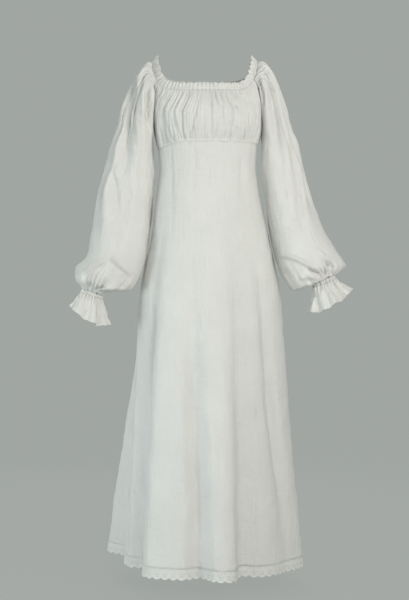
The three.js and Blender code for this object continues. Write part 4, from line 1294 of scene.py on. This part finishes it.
def loop_edges(first, count):
    """The edges of a closed outline whose points follow one another from the first."""
    return [(first + i, first + (i + 1) % count) for i in range(count)]


def scallop_points():
    """One scallop's points (across, above the lowest line, raised) in metres, and edges it has to keep."""
    points, edges = [], []
    outline = [(k / OUTLINE_STEPS, scallop_edge(k / OUTLINE_STEPS)) for k in range(OUTLINE_STEPS + 1)]
    outline += [(1, mix(SCALLOP_DEEP, TRIM_HIGH, k / SIDE_STEPS)) for k in range(1, SIDE_STEPS + 1)]
    outline += [(1 - k / TOP_STEPS, TRIM_HIGH) for k in range(1, TOP_STEPS + 1)]
    outline += [(0, mix(TRIM_HIGH, SCALLOP_DEEP, k / SIDE_STEPS)) for k in range(1, SIDE_STEPS)]
    edges += loop_edges(0, len(outline))
    for across, up in outline:
        points.append((across * SCALLOP_WIDE, up, STITCH_HIGH if up <= SCALLOP_DEEP else 0))
    for inset, high in STITCH_LINES:
        inner = 1 - inset / (SCALLOP_WIDE / 2)
        for k in range(1, SCALLOP_STEPS):
            across = k / SCALLOP_STEPS
            points.append((mix(0.5, across, inner) * SCALLOP_WIDE, scallop_edge(across) + inset, high))
    for across, up, radius in EYELETS:
        for grown, high in ((0, STITCH_HIGH), (RIM_WIDE, 0)):
            if not grown:
                edges += loop_edges(len(points), HOLE_SIDES)
            for k in range(HOLE_SIDES):
                angle = 2 * math.pi * (k + grown / RIM_WIDE / 2) / HOLE_SIDES
                x = across * SCALLOP_WIDE + (radius + grown) * math.cos(angle)
                points.append((x, up + (radius + grown) * math.sin(angle), high))
    columns, rows = round(SCALLOP_WIDE / GRAIN), round(TRIM_HIGH / GRAIN)
    for i in range(1, columns):
        for j in range(1, rows):
            x, y = i * SCALLOP_WIDE / columns, j * TRIM_HIGH / rows
            clear = all(math.hypot(x - a * SCALLOP_WIDE, y - b) > r + CLEAR_OF_RIM for a, b, r in EYELETS)
            if clear and y > scallop_edge(x / SCALLOP_WIDE) + CLEAR_OF_EDGE:
                points.append((x, y, 0))
    return points, edges


SCALLOP_POINTS, SCALLOP_EDGES = scallop_points()
print("one scallop is drawn with", len(SCALLOP_POINTS), "points and", len(SCALLOP_EDGES), "fixed edges")

# %% The triangles of one scallop
from mathutils.geometry import delaunay_2d_cdt

HOLE_SHARE = 0.9  # how much of an eyelet's radius counts as its hole, since its rim has corners


def fill_scallop(points, edges):
    """The points again, raised, and the triangles of cloth between them."""
    flat = [mathutils.Vector(point[:2]) for point in points]
    verts, _, faces, originals, _, _ = delaunay_2d_cdt(flat, edges, [], 0, 1e-7)
    raised = [max((points[k][2] for k in ids), default=0) for ids in originals]

    def is_cloth(face):
        x, y = sum((verts[k] for k in face), mathutils.Vector((0, 0))) / 3
        in_hole = any(math.hypot(x - a * SCALLOP_WIDE, y - b) < r * HOLE_SHARE for a, b, r in EYELETS)
        return not in_hole and y > scallop_edge(min(1, max(0, x / SCALLOP_WIDE)))

    return np.array([(*v, h) for v, h in zip(verts, raised)]), np.array([f for f in faces if is_cloth(f)])


SCALLOP, SCALLOP_FACES = fill_scallop(SCALLOP_POINTS, SCALLOP_EDGES)
print("one scallop:", len(SCALLOP), "points and", len(SCALLOP_FACES), "triangles")

# %% The trim along the hem
import bmesh

EYELET_WHITE = (0.84, 0.845, 0.825)
TRIM_THICK = 0.0006

eyelet_cotton = cotton("eyelet_cotton", EYELET_WHITE, slubs=0.4)


def on_surface(surface, column, row):
    """Points and normals of a surface between its columns and rows."""
    rows, columns = surface[0].shape[:2]
    i, j = np.clip(row.astype(int), 0, rows - 2), np.clip(column.astype(int), 0, columns - 2)
    s, t = (row - i)[:, None], (column - j)[:, None]
    return [mix(mix(g[i, j], g[i, j + 1], t), mix(g[i + 1, j], g[i + 1, j + 1], t), s) for g in surface]


def eyelet_trim(name, surface):
    """The trim along one panel's hem."""
    hem = surface[0][-1:]
    run = lengths_along(hem, 1)[0]
    count = round(run[-1] / SCALLOP_WIDE)
    stretch = run[-1] / (count * SCALLOP_WIDE)
    along = (SCALLOP[:, 0] + SCALLOP_WIDE * np.arange(count)[:, None]).reshape(-1) * stretch
    up = np.tile(SCALLOP[:, 1], count)
    column = np.interp(along, run, np.arange(len(run)))
    below_edge = SKIRT_ROWS - 1 + (HEM_DOWN - LACE_DOWN - up) / (HEM_DOWN - LACE_DOWN) * (TRIM_ROWS - 1)
    row_high = (LACE_DOWN - WAIST_DOWN) / (SKIRT_ROWS - WELT_ROWS)
    above_edge = SKIRT_ROWS - 1 - (up - (HEM_DOWN - LACE_DOWN)) / row_high
    row = np.where(up < HEM_DOWN - LACE_DOWN, below_edge, above_edge)
    points, normals = on_surface(surface, column, row)
    behind = smooth_step((up - HEM_DOWN + LACE_DOWN) / TRIM_OVERLAP) * CLOTH / 2
    points = points + normals * (np.tile(SCALLOP[:, 2], count) - behind)[:, None]
    faces = (SCALLOP_FACES[None] + len(SCALLOP) * np.arange(count)[:, None, None]).reshape(-1, 3)
    mesh = bpy.data.meshes.new(name)
    mesh.from_pydata(points.tolist(), [], faces.tolist(), shade_flat=False)
    flat = np.stack([along - run[-1] / 2, TRIM_HIGH - up], axis=-1)[faces.reshape(-1)]
    mesh.uv_layers.new(name="flat").uv.foreach_set("vector", flat.reshape(-1).astype(np.float32))
    joined = bmesh.new()
    joined.from_mesh(mesh)
    bmesh.ops.remove_doubles(joined, verts=joined.verts, dist=0.00002)
    joined.to_mesh(mesh)
    joined.free()
    print(f"{name}: {count} scallops, {run[-1]:.3f} metres along the hem")
    sew_on(name, mesh, eyelet_cotton, TRIM_THICK)


eyelet_trim("hem_lace_front", front_surface)
eyelet_trim("hem_lace_back", back_surface)
